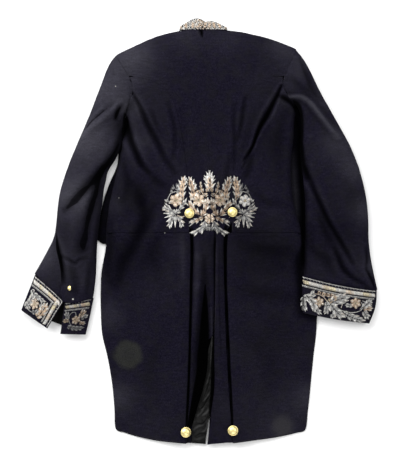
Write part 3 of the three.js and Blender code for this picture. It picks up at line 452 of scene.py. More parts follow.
sleeveLeftFolds = [
    ([(-190, 310), (-228, 272), (-258, 250), (-282, 226)], 7, 4, 0.5, -0.45),
    ([(-224, 302), (-250, 280), (-268, 262)], 4, 2, 0.4, -0.3),
    ([(-204, 306), (-236, 286), (-262, 264), (-276, 244)], 2.6, -1.6, 0.3, 0.35),
    ([(-188, 300), (-197, 286), (-202, 268)], 4.5, -5, 0.4, 1.0),
    ([(-180, 282), (-179, 262), (-177, 240), (-176, 214)], (3, 6, 9, 9), 0, 0, 3.0, 4),
    ([(-184, 240), (-196, 200), (-212, 172), (-240, 141), (-268, 108), (-290, 86), (-325, 50)],
     (8, 9, 9, 10, 9, 9, 8), -6.5, 0.3, 1.15),
    ([(-232, 150), (-240, 126), (-247, 104), (-256, 76), (-264, 44), (-272, 10), (-277, -40)],
     (6, 8, 9, 9, 9, 9, 8), -5.5, 0.3, 1.1),
    ([(-240, 110), (-244, 40), (-248, -30), (-250, -100)], 8, 0, 0, 0.5),
    ([(-262, 80), (-290, 44), (-306, 4), (-304, -40)], 9, 2.2, 0.2, -0.1),
    ([(-284, -10), (-288, -34), (-280, -56)], 11, -2.5, 0.2, 0.45),
    ([(-332, -60), (-316, -66), (-300, -75), (-290, -67), (-272, -64)], 3.6, -2.2, 0.6, 0.55),
    ([(-350, 0), (-344, -36), (-336, -72), (-329, -120)], (3, 6, 7, 7), -5.5, 0.4, 1.5),
    ([(-306, -90), (-300, -120), (-296, -150)], 10, -2, 0.3, 0.4),
    ([(-262, -70), (-268, -120), (-272, -156)], 7, -1.5, 0.3, 0.4),
]
sleeveRightFolds = [
    ([(204, 321), (238, 321), (262, 306), (284, 281), (306, 254), (330, 226)],
     (4, 5, 5.5, 6, 6, 6), 5, 0.5, -1.6),
    ([(272, 302), (300, 268), (334, 226)], 3, -1.4, 0.5, 0.35),
    ([(239, 413), (256, 372), (272, 338), (293, 312)], (4, 7, 10, 7), -4, 0.3, 0.5),
    ([(214, 366), (240, 346), (268, 326)], 9, -1.5, 0.3, 0.35),
    ([(205, 314), (232, 302), (241, 270), (240, 215), (244, 170), (256, 128)],
     (5, 5, 4.5, 4.5, 7, 6), -3, 0, 2.2),
    ([(252, 148), (264, 120), (276, 92), (291, 60), (306, 28), (322, 0), (338, -26), (352, -50), (366, -76)],
     (7, 6, 5, 5, 5, 5, 5, 5, 4), -5, 0.5, 1.05),
    ([(276, 80), (288, 40), (302, 0), (316, -30)], 11, -1.5, 0, 0.45),
    ([(322, -40), (334, -68), (346, -92), (366, -110), (400, -130)], (5, 6, 6, 5, 4), -4, 0.4, 1.0),
    ([(262, 20), (268, -40), (300, -66), (312, -96)], 11, -1.5, 0.3, 0.35),
    ([(250, 100), (250, 20), (250, -60), (248, -100)], 6, 0, 0, 1.0),
    ([(398, -90), (409, -110), (422, -138)], 3.5, -3, 0.4, 1.1),
    ([(398, -40), (400, -64), (398, -88)], 4, -2.5, 0.4, 0.6),
    ([(348, 130), (366, 80), (376, 20)], 13, -2, 0.3, 0.12),
    ([(250, 236), (262, 226), (268, 232)], 3, 1.0, 0.5, -0.2),
]

# Where the cloth is lighter, faded dye and painted highlight: the middle of each place, its radius and how
# far it has gone
fadedAndHighlitRows = [
    (-165, 420, 55, 0.62), (-225, 340, 60, 0.66), (-275, 225, 62, 0.84), (-312, 90, 55, 0.84),
    (-372, -50, 50, 0.62), (-172, 300, 24, 0.44), (-148, 215, 26, 0.26), (196, 440, 34, 0.26),
    (240, 400, 34, 0.30), (214, 362, 22, 0.10), (300, 330, 40, 0.36), (334, 215, 44, 0.42),
    (372, 150, 36, 0.46), (396, 50, 32, 0.46), (412, -80, 26, 0.38), (-40, 478, 46, 0.20),
    (60, 476, 50, 0.14), (-225, -200, 36, 0.26), (-204, -400, 36, 0.44), (258, -400, 36, 0.34),
    (-96, -120, 50, 0.08), (-60, -40, 22, 0.10), (150, -210, 60, 0.04), (160, -440, 90, 0.09),
    (-120, -420, 90, 0.03), (-176, 100, 30, 0.10), (-300, -100, 44, 0.30), (190, 300, 30, 0.06),
    (-204, 66, 26, 0.14), (-10, -60, 8, 0.2), (-8, -130, 8, 0.15), (200, -484, 60, 0.14),
    (-130, -490, 60, 0.08),
]

# Broad darker places, partly painted shade (by the sleeves, in the vent): centre, half width, half height,
# how much
darkAndShadeRows = [
    (-312, -86, 40, 44, 0.28), (-196, 262, 16, 34, 0.5), (-330, -20, 20, 30, 0.15), (-160, 88, 52, 50, 0.42),
    (-150, -56, 62, 62, 0.30), (-200, -90, 26, 60, 0.25), (160, -58, 78, 56, 0.38), (170, -236, 70, 70, 0.16),
    (152, 232, 42, 60, 0.26), (-122, 256, 34, 50, 0.12), (322, -12, 44, 50, 0.30), (232, 120, 14, 70, 0.3),
    (6, -300, 26, 130, 0.35), (120, -6, 60, 20, 0.2), (18, 300, 80, 130, 0.06),
]

cloth = {
    "rimAngle": math.radians(72),  # a wall's own edge bends more than this, a fold less
    "wallShare": 0.2,  # a wall's face is at least this share of its largest
    "cornerAngle": math.radians(34),
    "edgeSharp": 0.46,  # crease of a free edge, which rounds it
    "weld": 0.02,
    "step": 0.7,  # how close the points along an edge are
    "aims": 3,  # rounds of swelling the cage, and how far each goes
    "aimShare": 0.9,
    "seamReach": 1.6,  # edges this near each other are sewn together
    "armholeReach": 3.6,  # the same where a sleeve meets the body
    "seamShade": 0.04,
    "seamWide": 1.3,
    "beside": (4, 9),  # nearer a seam than this, an edge counts as this far off, so that it isn't worn
    "evened": (1, 14),  # how far from an edge the evening out begins and is full
    # how edges are drawn together: fully within the first, not at all past the next, and how much of the gap
    "drawn": (0.8, (2.4, 2.4, 10), (0.9, 0.9, 0.5)),
    "upper": (-0.1, 0.5),  # how far a face is turned up before folds move it
    "hem": (470, 490),  # where the pleats' hems are let down, below the waist
    "turned": 3,  # the wool is turned in this far
    "depth": 1.6,  # how fast the painted shade deepens
    "lifted": 0.5,  # how fast a ridge's painted highlight grows
    "sharp": math.radians(50),
    "underside": 0.35,  # how bright the painted shade leaves the cloth on its under side
    "swells": ((46, 1.2), (17, 0.4)),  # how long and how high
}

# How each piece is worked. out: if its right side faces up or down (else away from its middle). relax: rounds
# of evening out. levels: of smoothing, if not 3. flat: its folds only shade it. longer: how far its hem is
# let down. pull: places drawn sideways, each with its radius and how far across and up.
skirtWork = {"out": 1, "relax": 4, "folds": bodyFolds + pleatFolds}
pleatWork = {"out": 1, "sharp": 1.0, "levels": 4, "longer": 1.0, "finish": "wool", "flat": True}
frontWork = {"out": -1, "sharp": 1.0, "levels": 2, "finish": "wool", "flat": True}
clothPieces = {
    "back_left": {"out": 1, "relax": 40, "folds": bodyFolds + ventFolds + pleatFolds,
                  "pull": [(26, -251, 7, 0, -5)]},
    "back_right": {"out": 1, "relax": 40, "folds": bodyFolds + tailFolds + pleatFolds},
    "side_body_left": {"out": 1, "relax": 40, "folds": bodyFolds, "pull": [(-176, 283, 8, -4, 0)]},
    "side_body_right": {"out": 1, "relax": 40, "folds": bodyFolds},
    "skirt_left": skirtWork,
    "skirt_right": skirtWork,
    "pleat_left": {**pleatWork, "folds": ventFolds + pleatFolds + valleyShade,
                   "pull": [(-34, -502, 6, 0, -5)]},
    "pleat_right": {**pleatWork, "folds": pleatFolds, "pull": [(77, -502, 6, 0, -5)]},
    "front_left": {**frontWork, "folds": bodyFolds},
    "front_right": {**frontWork, "folds": bodyFolds + armpitLight, "pull": [(232, 294, 9, 7, 2)]},
    "undersleeve_left": {"relax": 3, "folds": sleeveLeftFolds},
    "topsleeve_left": {"levels": 2},
    "undersleeve_right": {"relax": 3, "folds": sleeveRightFolds},
    "topsleeve_right": {"levels": 2},
    "collar": {"piece": "standingCollar", "levels": 2,
               "pull": [(-58, 489, 8, 6, -4), (73, 489, 8, -6, -4), (13, 508, 7, 0, -4.5),
                        (30, 506, 12, 0, -1.5)]},
    "cuff_right": {},
    "cuff_left": {},
    "vent_lining_left": {"piece": "ventLining", "out": 1, "finish": "satin", "folds": satinFolds,
                         "pull": [(29, -262, 9, 0, 9), (20, -444, 16, 2.2, 0), (13, -476, 16, 2, 0),
                                  (9, -508, 16, 1.6, 0)]},
}


def areaOf(faces):
    return sum(face.calc_area() for face in faces)


def joinedLayers(cage):
    # the faces in sets that no sharp edge crosses, the largest first
    seen, groups = set(), []
    for start in cage.faces:
        if start in seen:
            continue
        seen.add(start)
        members, open_ = [], [start]
        while open_:
            face = open_.pop()
            members.append(face)
            for edge in face.edges:
                if edge.calc_face_angle(0.0) > cloth["rimAngle"]:
                    continue
                for other in edge.link_faces:
                    if other not in seen:
                        seen.add(other)
                        open_.append(other)
        groups.append(members)
    return sorted(groups, key=lambda faces: -areaOf(faces))


def cageOf(node, out):
    # a joined copy of the CAD wall with its two layers told apart, and points along its edges
    cage = bmesh.new()
    cage.from_mesh(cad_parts[node].data)
    bmesh.ops.remove_doubles(cage, verts=cage.verts, dist=cloth["weld"] * mm)
    bmesh.ops.join_triangles(cage, faces=cage.faces, angle_face_threshold=math.radians(60),
                             angle_shape_threshold=math.pi, topology_influence=1.0)
    middle = sum((vertex.co for vertex in cage.verts), Vector()) / len(cage.verts)

    def outward(faces):
        ways = (Vector((0, 0, out)) if out else face.calc_center_median() - middle for face in faces)
        return sum(face.normal.dot(way) * face.calc_area() for face, way in zip(faces, ways))

    groups = joinedLayers(cage)
    groups = [faces for faces in groups if areaOf(faces) > cloth["wallShare"] * areaOf(groups[0])]
    parting = 0 if len(groups) > 2 else sum(outward(faces) for faces in groups) / 2
    layers = {face: 1.0 if outward(faces) > parting else -1.0 for faces in groups for face in faces}
    facing = cage.verts.layers.float_vector.new("facing")
    crease = cage.edges.layers.float.new("crease_edge")
    for face in cage.faces:
        face.smooth = True
        face.material_index = 1 if layers.get(face) == -1.0 else 0
    for vertex in cage.verts:
        total = Vector()
        for face in vertex.link_faces:
            total += face.normal * face.calc_area() * layers.get(face, 0.0)
        vertex[facing] = total.normalized() if total.length > 0 else Vector((0, 0, 1))
    border = {}
    for edge in cage.edges:
        kinds = {layers.get(face, 0.0) for face in edge.link_faces}
        if len(kinds) > 1 or (kinds == {0.0} and edge.calc_face_angle(0.0) > cloth["cornerAngle"]):
            edge[crease] = 1.0
        if len(kinds) > 1:
            a, b = edge.verts[0].co, edge.verts[1].co
            steps = max(1, int((b - a).length / (cloth["step"] * mm)))
            border[edge.index] = [a.lerp(b, (k + 0.5) / steps) for k in range(steps)]
    return cage, border


def treeOf(points):
    tree = KDTree(len(points))
    for index, point in enumerate(points):
        tree.insert(point, index)
    tree.balance()
    return tree


def findSeams(cages):
    # for every point along an edge, the nearest point of another piece's edge, where they are sewn together
    everything = [(point, node) for node, (_, border) in cages.items()
                  for row in border.values() for point in row]
    tree = treeOf([point for point, _ in everything])

    def sewnTo(node, other, far):
        armhole = ("sleeve" in node) != ("sleeve" in other)
        return other != node and (armhole or far < cloth["seamReach"] * mm)

    seams = {}
    for node, (cage, border) in cages.items():
        crease = cage.edges.layers.float["crease_edge"]
        cage.edges.ensure_lookup_table()
        rows = []
        for index, points in border.items():
            partners = []
            for point in points:
                near = [(far, other) for _, other, far in tree.find_range(point, cloth["armholeReach"] * mm)
                        if sewnTo(node, everything[other][1], far)]
                partners.append(everything[min(near)[1]][0] if near else None)
            if sum(partner is None for partner in partners) > len(points) / 2:
                cage.edges[index][crease] = clothPieces[node].get("sharp", cloth["edgeSharp"])
            rows += zip(points, partners)
        seams[node] = rows
    return seams


def readPoints(mesh):
    points = np.zeros(len(mesh.vertices) * 3, np.float32)
    mesh.vertices.foreach_get("co", points)
    return points.reshape(-1, 3).astype(float)


def smoothed(mesh, points, free, rounds):
    # evens the heights out, each towards its neighbours' mean
    ends = np.zeros(len(mesh.edges) * 2, np.int32)
    mesh.edges.foreach_get("vertices", ends)
    a, b = ends.reshape(-1, 2).T
    count = np.bincount(np.concatenate([a, b]), minlength=len(points))
    height = points[:, 2].copy()
    for _ in range(rounds):
        total = np.bincount(a, height[b], len(points)) + np.bincount(b, height[a], len(points))
        height += 0.6 * free * (total / count - height)
    return np.column_stack([points[:, :2], height])


def smoothLine(line, steps=6):
    # more points on a line, in a smooth curve through the given ones
    points = [np.array(p, float) for p in line]
    ends = [2 * points[0] - points[1], *points, 2 * points[-1] - points[-2]]
    made = []
    for before, start, stop, after in zip(ends, ends[1:], ends[2:], ends[3:]):
        square, cube = 2 * before - 5 * start + 4 * stop - after, 3 * start - before - 3 * stop + after
        for t in np.arange(steps) / steps:
            made.append(0.5 * (2 * start + (stop - before) * t + square * t * t + cube * t ** 3))
    return np.array([*made, points[-1]])


def foldShapes(folds, x, y):
    # the height of all the folds at each point, and how much painted shade (or painted highlight) the cloth
    # has there
    height, tone = np.zeros(len(x)), np.zeros(len(x))
    for line, wide, deep, ridges, dark, *square in folds:
        line = smoothLine(line)
        near, along = np.full(len(x), np.inf), np.zeros(len(x))
        for index, (start, stop) in enumerate(zip(line, line[1:])):
            run = stop - start
            t = np.clip(((x - start[0]) * run[0] + (y - start[1]) * run[1]) / (run @ run), 0, 1)
            far = np.hypot(x - start[0] - t * run[0], y - start[1] - t * run[1])
            closer = far < near
            along[closer] = (index + t[closer]) / (len(line) - 1)
            near = np.minimum(near, far)
        taper = np.sin(np.pi * np.clip(0.06 + 0.88 * along, 0, 1)) ** 0.6
        wide = np.atleast_1d(wide).astype(float)
        wide = np.interp(along, np.linspace(0, 1, len(wide)), wide)
        trough = np.exp(-((near / wide) ** (square[0] if square else 2)))
        ridge = ridges * np.exp(-((near - 2.1 * wide) / (1.1 * wide)) ** 2)
        height += deep * taper * (trough - ridge)
        tone += dark * taper * (trough - 0.35 * ridge)
    return height, tone


def ease(value, low, high):
    t = np.clip((value - low) / (high - low), 0, 1)
    return t * t * (3 - 2 * t)


def setPoints(mesh, points):
    mesh.vertices.foreach_set("co", points.astype(np.float32).ravel())
    mesh.update()


def smoothWall(name, mesh, levels):
    # swells the cage until its smooth wall passes through the CAD's own points
    piece = newObject(name, mesh)
    smooth = piece.modifiers.new("smooth", "SUBSURF")
    smooth.levels = smooth.render_levels = levels
    smooth.use_limit_surface = False
    wanted = readPoints(mesh)
    aimed = wanted.copy()
    for _ in range(cloth["aims"]):
        setPoints(mesh, aimed)
        bpy.context.view_layer.update()
        shown = piece.evaluated_get(bpy.context.evaluated_depsgraph_get()).to_mesh()
        reached = readPoints(shown)[:len(wanted)]
        piece.to_mesh_clear()
        aimed += cloth["aimShare"] * (wanted - reached)
    setPoints(mesh, aimed)
    return settled(piece)


def unevenTones(across, down):
    # how much lighter (fading and painted highlight) and darker (painted shade) the cloth is at each point of
    # the plan
    fade, tone = np.zeros(len(across)), np.zeros(len(across))
    for spotX, spotY, radius, share in fadedAndHighlitRows:
        fade += share * np.exp(-(((across - spotX) ** 2 + (down - spotY) ** 2) / radius ** 2))
    for spotX, spotY, wide, high, dark in darkAndShadeRows:
        tone += dark * np.exp(-((across - spotX) / wide) ** 2 - ((down - spotY) / high) ** 2)
    return fade, tone


def makeCloth(node, row, cage, rim):
    finish, levels = row.get("finish"), row.get("levels", 3)
    mesh = bpy.data.meshes.new(node)
    cage.to_mesh(mesh)
    cage.free()
    piece = smoothWall(row.get("piece", pieceName(node)), mesh, levels)
    mesh = piece.data
    points = readPoints(mesh)
    sewn = [(point, partner) for point, partner in rim if partner is not None]
    bare = [point for point, partner in rim if partner is None]
    sewnTree, bareTree = treeOf([point for point, _ in sewn]), treeOf(bare)
    far = 1.0
    seam = np.array([sewnTree.find(point)[2] if sewn else far for point in points]) / mm
    free = np.array([bareTree.find(point)[2] if bare else far for point in points]) / mm
    near, off = cloth["beside"]
    free = np.where(seam < near, np.maximum(free, off), free)
    facing = np.zeros(len(points) * 3, np.float32)
    mesh.attributes["facing"].data.foreach_get("vector", facing)
    facing = facing.reshape(-1, 3)
    facing /= np.maximum(np.linalg.norm(facing, axis=1), 1e-9)[:, None]
    points = smoothed(mesh, points, ease(np.minimum(seam, free), *cloth["evened"]), row.get("relax", 0))

    plan = (points - np.array(planOrigin)) / mm
    across, down = plan[:, 0], plan[:, 1]
    height, tone = foldShapes(row.get("folds", []), across, down)
    move = height * ease(facing[:, 2], *cloth["upper"]) * (0 if row.get("flat") else 1)
    if levels == 3 and finish != "satin":
        for size, high in cloth["swells"]:
            move += high * np.array([noise.noise(Vector(p) / size) for p in plan])
    points += facing * (move * mm)[:, None]
    full, ends, much = cloth["drawn"]
    for index in np.nonzero(seam < max(ends))[0] if sewn else ():
        point, partner = sewn[sewnTree.find(points[index])[1]]
        share = 1 - np.array([ease(seam[index], full, end) for end in ends])
        points[index] += (np.array(partner) - np.array(point)) * share * much
    for spotX, spotY, radius, moveX, moveY in row.get("pull", ()):
        share = np.exp(-((across - spotX) ** 2 + (down - spotY) ** 2) / radius ** 2)
        points[:, 0] += moveX * mm * share
        points[:, 1] += moveY * mm * share
    points[:, 1] -= row.get("longer", 0) * mm * ease(-down, *cloth["hem"])
    points[:, 2] = np.maximum(points[:, 2], 0)
    mesh.attributes.remove(mesh.attributes["facing"])
    setPoints(mesh, points)

    fade, dark = unevenTones(across, down)
    tone += dark + cloth["seamShade"] * np.exp(-((seam / cloth["seamWide"]) ** 2))
    # painted shade on the under sides, where the cloth faces down
    under = (1 - cloth["underside"]) * (1 - ease(facing[:, 2], -0.4, 0.3))
    # the shade attribute: painted shade in folds and dark places, and a darker line along the seams
    shade = np.exp(-cloth["depth"] * np.maximum(tone, 0)) * (1 - under)
    # painted highlight on ridges (tone below 0) joins the fading
    fade = np.clip(fade + cloth["lifted"] * np.maximum(-tone, 0), 0, 1)
    for label, values in (("edge", free), ("seam", seam), ("fade", fade), ("shade", shade)):
        mesh.attributes.new(label, "FLOAT", "POINT").data.foreach_set("value", values.astype(np.float32))
    finishes = {"satin": (satin, satin), "wool": (broadcloth, broadcloth)}
    for material in finishes.get(finish, (broadcloth, satin)):
        mesh.materials.append(material)
    inner = np.zeros(len(mesh.polygons), np.int32)
    mesh.polygons.foreach_get("material_index", inner)
    for face in mesh.polygons:
        if inner[face.index] and free[face.vertices[0]] < cloth["turned"]:
            inner[face.index] = 0
    mesh.polygons.foreach_set("material_index", inner)
    mesh.set_sharp_from_angle(angle=cloth["sharp"])
    mesh.update()
    return handOver(piece, node)


cages = {node: cageOf(node, row.get("out", 0)) for node, row in clothPieces.items()}
seams = findSeams(cages)
made = {node: makeCloth(node, row, cages[node][0], seams[node]) for node, row in clothPieces.items()}
print("cloth made:", sum(len(piece.data.polygons) for piece in made.values()), "faces")

# Metal-thread ornament: padded leaves and flowers laid from short tables
ornament = {
    "seed": 7,
    "uneven": 0.05,  # how far the tints stray
    "high": 2.3,
    "slices": 8,
    "rings": 5,
    "point": 0.9,  # how narrow a pad's far end is
    "foot": -0.2,  # how far a pad goes on below its middle
    "raised": 0.12,  # how far its middle stands off the cloth, as a share of its height
    "seamGap": 0.6,
    "lean": 31,  # how far a leaf's lobes turn from its midrib
    "twist": 24,  # of a cord's strands
    "twistStep": 2.0,
    "laceLean": 68,
    "laceStep": 2.3,
}
hand = random.Random(ornament["seed"])


def pad(start, turn, length, width, tint, high, lift=0.0, bend=0.0):
    stop = (start[0] + length * math.cos(turn), start[1] + length * math.sin(turn))
    tint += hand.uniform(-1, 1) * ornament["uneven"]
    return [(start, stop, width, tint, high * ornament["high"], lift, bend)]


def leaf(start, stop, half, tint, tipTint, pairs, bend=0.0, vein=0.03, lift=0.0):
    # an acanthus leaf: pairs of broad pointed lobes along a curved midrib, each with a painted highlight on
    # its ridge
    start, stop = Vector(start), Vector(stop)
    run = stop - start
    across = Vector((-run.y, run.x))
    lean = ornament["lean"]
    step = 1 / (pairs + 0.55)
    body = tint + (0.15 if tint > 0.5 else -0.1)  # painted shade: a darker tint of the same metal under the painted highlights

    def at(t):
        return start + run * t + across * bend * 4 * t * (1 - t)

    def heading(t):
        ahead = at(t + 0.05) - at(t)
        return math.atan2(ahead.y, ahead.x)

    laid = []
    for k in range(pairs):
        t = (k + 0.10) * step
        for side in (-1, 1):
            turn = heading(t) + side * math.radians(lean * (1.15 - 0.5 * t) + hand.uniform(-4, 4))
            along = Vector((math.cos(turn), math.sin(turn)))
            foot = at(t) + Vector((-along.y, along.x)) * side * 0.08 * half
            long = half * math.sin(math.pi * (0.30 + 0.50 * t)) / math.sin(math.radians(lean))
            long = min(long * hand.uniform(0.92, 1.1), (0.97 - t) * run.length + 1)
            wide = min(run.length * step * 0.62, long * 0.4)
            for late, less, shade, rise in ((0.44, 0.66, body - 0.03, 0.1), (0, 1.0, body, 0)):
                laid += pad(at(t + late * step), turn - late * 0.3 * side, long * less, wide, shade, 1.0,
                            lift + rise, -0.13 * side)
            laid += pad(foot + along * long * 0.40, turn - side * 0.10, long * 0.66, wide * 0.55, tipTint,
                        1.2, lift + 0.5, -0.10 * side)
    last = at((pairs - 0.1) * step)
    turn, long = heading(0.93), (at(1) - last).length * 1.35
    for more, share, shade, rise in ((-0.3, 0.7, body, 0), (0.3, 0.7, body, 0), (0, 1.0, tipTint, 0.4)):
        laid += pad(last, turn + more, long * share, max(half * 0.42, 2.4), shade, 1.1, lift + rise)
    if half > 4.2:
        for k in range(pairs):
            foot, ahead = at((k + 0.1) * step), at((k + 0.85) * step) - at((k + 0.1) * step)
            laid += pad(foot, math.atan2(ahead.y, ahead.x), ahead.length, half * 0.18, vein, 0.5, lift + 1.5)
    return laid


def fan(foot, tips, width, tint, tipTint):
    # long plain blades from one joint, brighter towards their ends
    laid = []
    for index, tip in enumerate(tips):
        run = Vector(tip) - Vector(foot)
        turn = math.atan2(run.y, run.x)
        laid += pad(foot, turn, run.length * 0.92, width, tint, 0.9, 0.1 * (index % 2), 0.06)
        laid += pad(Vector(foot) + run * 0.45, turn, run.length * 0.55, width * 0.5, tipTint, 1.0, 0.5, 0.04)
    return laid


def rosette(centre, radius, tint, petals, turn=0.3):
    # a flower of ragged petals, some lighter, round a small heart
    def blade(out, angle, *shape):
        foot = (centre[0] + out * radius * math.cos(angle), centre[1] + out * radius * math.sin(angle))
        return pad(foot, angle, *shape)

    laid = []
    for k in range(petals):
        middle = turn + 2 * math.pi * k / petals + hand.uniform(-0.1, 0.1)
        for offset, share in ((-0.34, 0.80), (0.34, 0.84), (-0.12, 0.96), (0.14, 1.0)):
            shade, bend = tint - 0.05 * (offset > 0.2), 0.06 if offset > 0 else -0.06
            laid += blade(0.16, middle + offset, radius * 0.84 * share, radius * 0.32, shade, 1.0,
                          0.3 * (share > 0.9), bend)
        # a painted highlight down each petal's middle, and a dark slit between it and the next petal
        laid += blade(0.45, middle, radius * 0.5, radius * 0.2, 0.55, 1.1, 0.6)
        laid += blade(0.4, middle + math.pi / petals, radius * 0.4, radius * 0.09, 0.03, 0.6, 0.9)
    for k in range(5):
        laid += blade(0.05, 2 * math.pi * k / 5, radius * 0.22, radius * 0.15, 0.97 - 0.3 * (k % 2), 0.8, 1.3)
    return laid


def cord(line, width, tint, tipTint=None):
    # a twisted cord along a smooth line
    points = smoothLine(line, 12)
    lengths = np.concatenate([[0], np.cumsum(np.hypot(*np.diff(points, axis=0).T))])
    tipTint = tint if tipTint is None else tipTint
    step, laid = ornament["twistStep"], []
    for s in np.arange(step / 2, lengths[-1], step):
        k = min(np.searchsorted(lengths, s), len(points) - 1)
        run = points[k] - points[k - 1]
        place = points[k - 1] + run * (s - lengths[k - 1]) / max(lengths[k] - lengths[k - 1], 1e-6)
        turn = math.atan2(run[1], run[0]) + math.radians(ornament["twist"])
        half = np.array([math.cos(turn), math.sin(turn)]) * step * 0.8
        shade = tint + (tipTint - tint) * s / lengths[-1]
        laid += pad(tuple(place - half), turn, step * 1.6, width, shade, 0.8)
    return laid


def lace(length, low, high, blocks):
    # a bright band of thread laid across on the slant, its two metals in soft blocks
    laid, turn, step = [], math.radians(ornament["laceLean"]), ornament["laceStep"]
    for k in range(int(length / step)):
        s = (k + 0.3) * step
        tint = blocks[min(max(int(s / length * len(blocks) + hand.uniform(-0.4, 0.4)), 0), len(blocks) - 1)]
        laid += pad((s, low), turn, (high - low) / math.sin(turn), step * 1.3, tint, 0.9)
    return laid


def bothSides(laid):
    # the same again on the other side of the middle line, a little changed
    return laid + [((hand.uniform(-0.8, 0.8) - start[0], start[1]), (-stop[0], stop[1]),
                    width, tint, high, lift, -bend) for start, stop, width, tint, high, lift, bend in laid]


def moved(laid, place):
    return [(place(*start), place(*stop), *rest) for start, stop, *rest in laid]


def band(corners, width, height, dip):
    # places a point of a flat band, across and down from its first corner, between four corners on the plan
    a, b, c, d = (Vector(corner) for corner in corners)

    def place(s, t):
        u, v = s / width, t / height
        point = a.lerp(b, u).lerp(c.lerp(d, u), v)
        return point.x, point.y - dip * math.sin(math.pi * min(max(u, 0), 1))
    return place


# Tints: 0 dark, 0.22 grey, 0.45 silver, 0.52 bright silver, 0.62 rose gold, 0.8 copper, 1 gold.
# Leaves: foot, tip, half width, tint of the leaf and of the painted highlights at its lobes' ends, pairs of
# lobes, bend
waistRows = {
    "middle": 22,
    "buttons": ((-26, 44), (77, 47)), "clear": 12.5,  # bare cloth round the hip buttons
    "leaves": [  # on one side of the middle, and again on the other
        ((38, 77), (50.5, 131), 12.5, 0.60, 0.50, 4, 0.05), ((66, 78), (59, 132), 11.5, 0.58, 0.50, 4, -0.05),
        ((7, 84), (21, 119), 5, 0.57, 0.50, 3, -0.12), ((21, 90), (35, 115), 4.6, 0.62, 0.54, 2, -0.14),
        ((9, 82), (4, 110), 4.6, 0.57, 0.50, 2, 0.0), ((60, 62), (70, 90), 4.5, 0.62, 0.46, 2, 0.05),
        ((20, 36), (4, 80), 10, 0.60, 0.52, 3, 0.05), ((24, 38), (50, 74), 10.5, 0.60, 0.51, 3, -0.06),
        ((82, 43), (55, 79), 7, 0.45, 0.51, 3, 0.05), ((80, 41), (114, 57), 8, 0.45, 0.52, 3, 0.08),
        ((84, 45), (106, 68), 4.6, 0.40, 0.46, 2, 0.0), ((14, 35), (47, 24), 7, 0.57, 0.45, 3, -0.06),
        ((9, 27), (45, -3), 9.5, 0.46, 0.52, 3, -0.18), ((90, 68), (106, 76), 4.4, 0.44, 0.52, 2, 0.0),
        ((82, 42), (95, 9), 9.5, 0.42, 0.52, 3, 0.10), ((76, 37), (68, 10), 8, 0.42, 0.51, 3, -0.12),
    ],
    "fans": [
        ((80, 40), ((112, 44), (109, 33), (104, 22)), 7.0, 0.40, 0.51),
        ((79, 38), ((82, 9), (61, 19)), 6.5, 0.36, 0.50), ((26, 30), ((50, 20), (49, 12)), 4.6, 0.36, 0.47),
    ],
    "rosettes": [((26, 76), 17, 0.66, 6), ((10, 70), 7.5, 0.60, 5), ((41, 82), 8, 0.60, 5)],
    "sideRosettes": [((-80, 75), 17, 0.66, 6), ((85, 74), 16, 0.38, 6)],  # one rosy, one grey
    "cords": [
        ([(14, 88), (24, 99), (35, 92), (31, 84)], 1.5, 0.62),
        ([(67, 84), (76, 96), (93, 91), (101, 76)], 1.9, 0.42),
        ([(70, 92), (74, 104), (80, 117)], 1.3, 0.28), ([(73, 96), (82, 103), (87, 112)], 1.3, 0.26),
        ([(18, 40), (10, 50), (8, 62)], 1.3, 0.62), ([(29, 42), (41, 47), (47, 57)], 1.3, 0.58),
        ([(84, 47), (93, 52), (99, 64)], 1.3, 0.42), ([(47, 34), (56, 38), (66, 36), (78, 40)], 1.6, 0.60),
        ([(0, 16), (10, 17), (18, 21)], 2.6, 0.46), ([(0, 11.5), (12, 12.5), (22, 17)], 1.6, 0.30),
    ],
    "sprigs": [((74, 98), 66, 13), ((78, 106), 108, 10), ((72, 108), 84, 11), ((85, 102), 34, 10),
               ((88, 96), 12, 9)],
}


def layRows(rows):
    laid = []
    for kind, lay in (("leaves", leaf), ("fans", fan), ("rosettes", rosette), ("cords", cord)):
        for row in rows.get(kind, ()):
            laid += lay(*row)
    return laid


def waistOrnament(rows):
    half = layRows(rows)
    for foot, degrees, length in rows["sprigs"]:
        for turn in (-34, -12, 12, 34):
            half += pad(foot, math.radians(degrees + turn), length * 0.8, 1.7, 0.27, 0.7)
    laid = half + bothSides(half)
    for row in rows["sideRosettes"]:
        laid += rosette(*row)
    # the tall leaf in the middle, with a round head of its own
    laid += leaf((0, 94), (0, 136), 14.5, 0.58, 0.49, 3)
    for side in (-1, 1):
        for x, y, degrees, length, width in ((1.6, 126, 88, 22, 4.6), (3.4, 124, 76, 21, 4.4),
                                             (4.0, 118, 60, 20, 4.2), (4.2, 112, 52, 19, 4.0)):
            turn = math.radians(90 - side * (90 - degrees))
            laid += pad((side * x, y), turn, length, width, 0.48, 1.0, 0.3, 0.12 * side)
        laid += pad((side * 6.2, 131), math.radians(90 - side * 8), 11, 2.6, 0.52, 1.0, 0.7, 0.14 * side)
    laid += rosette((0, 31), 13, 0.64, 7, 0.0)
    for k in range(13):  # the fringe below
        x = -18 + 3 * k
        laid += pad((x, 13), math.radians(-90 + 1.7 * x), 10 + 0.14 * (18 - abs(x)), 1.7, 0.38, 0.8)
    laid = moved(laid, lambda x, y: (rows["middle"] + x, y))
    return [row for row in laid if all(math.dist(row[end], button) > rows["clear"]
                                       for button in rows["buttons"] for end in (0, 1))]


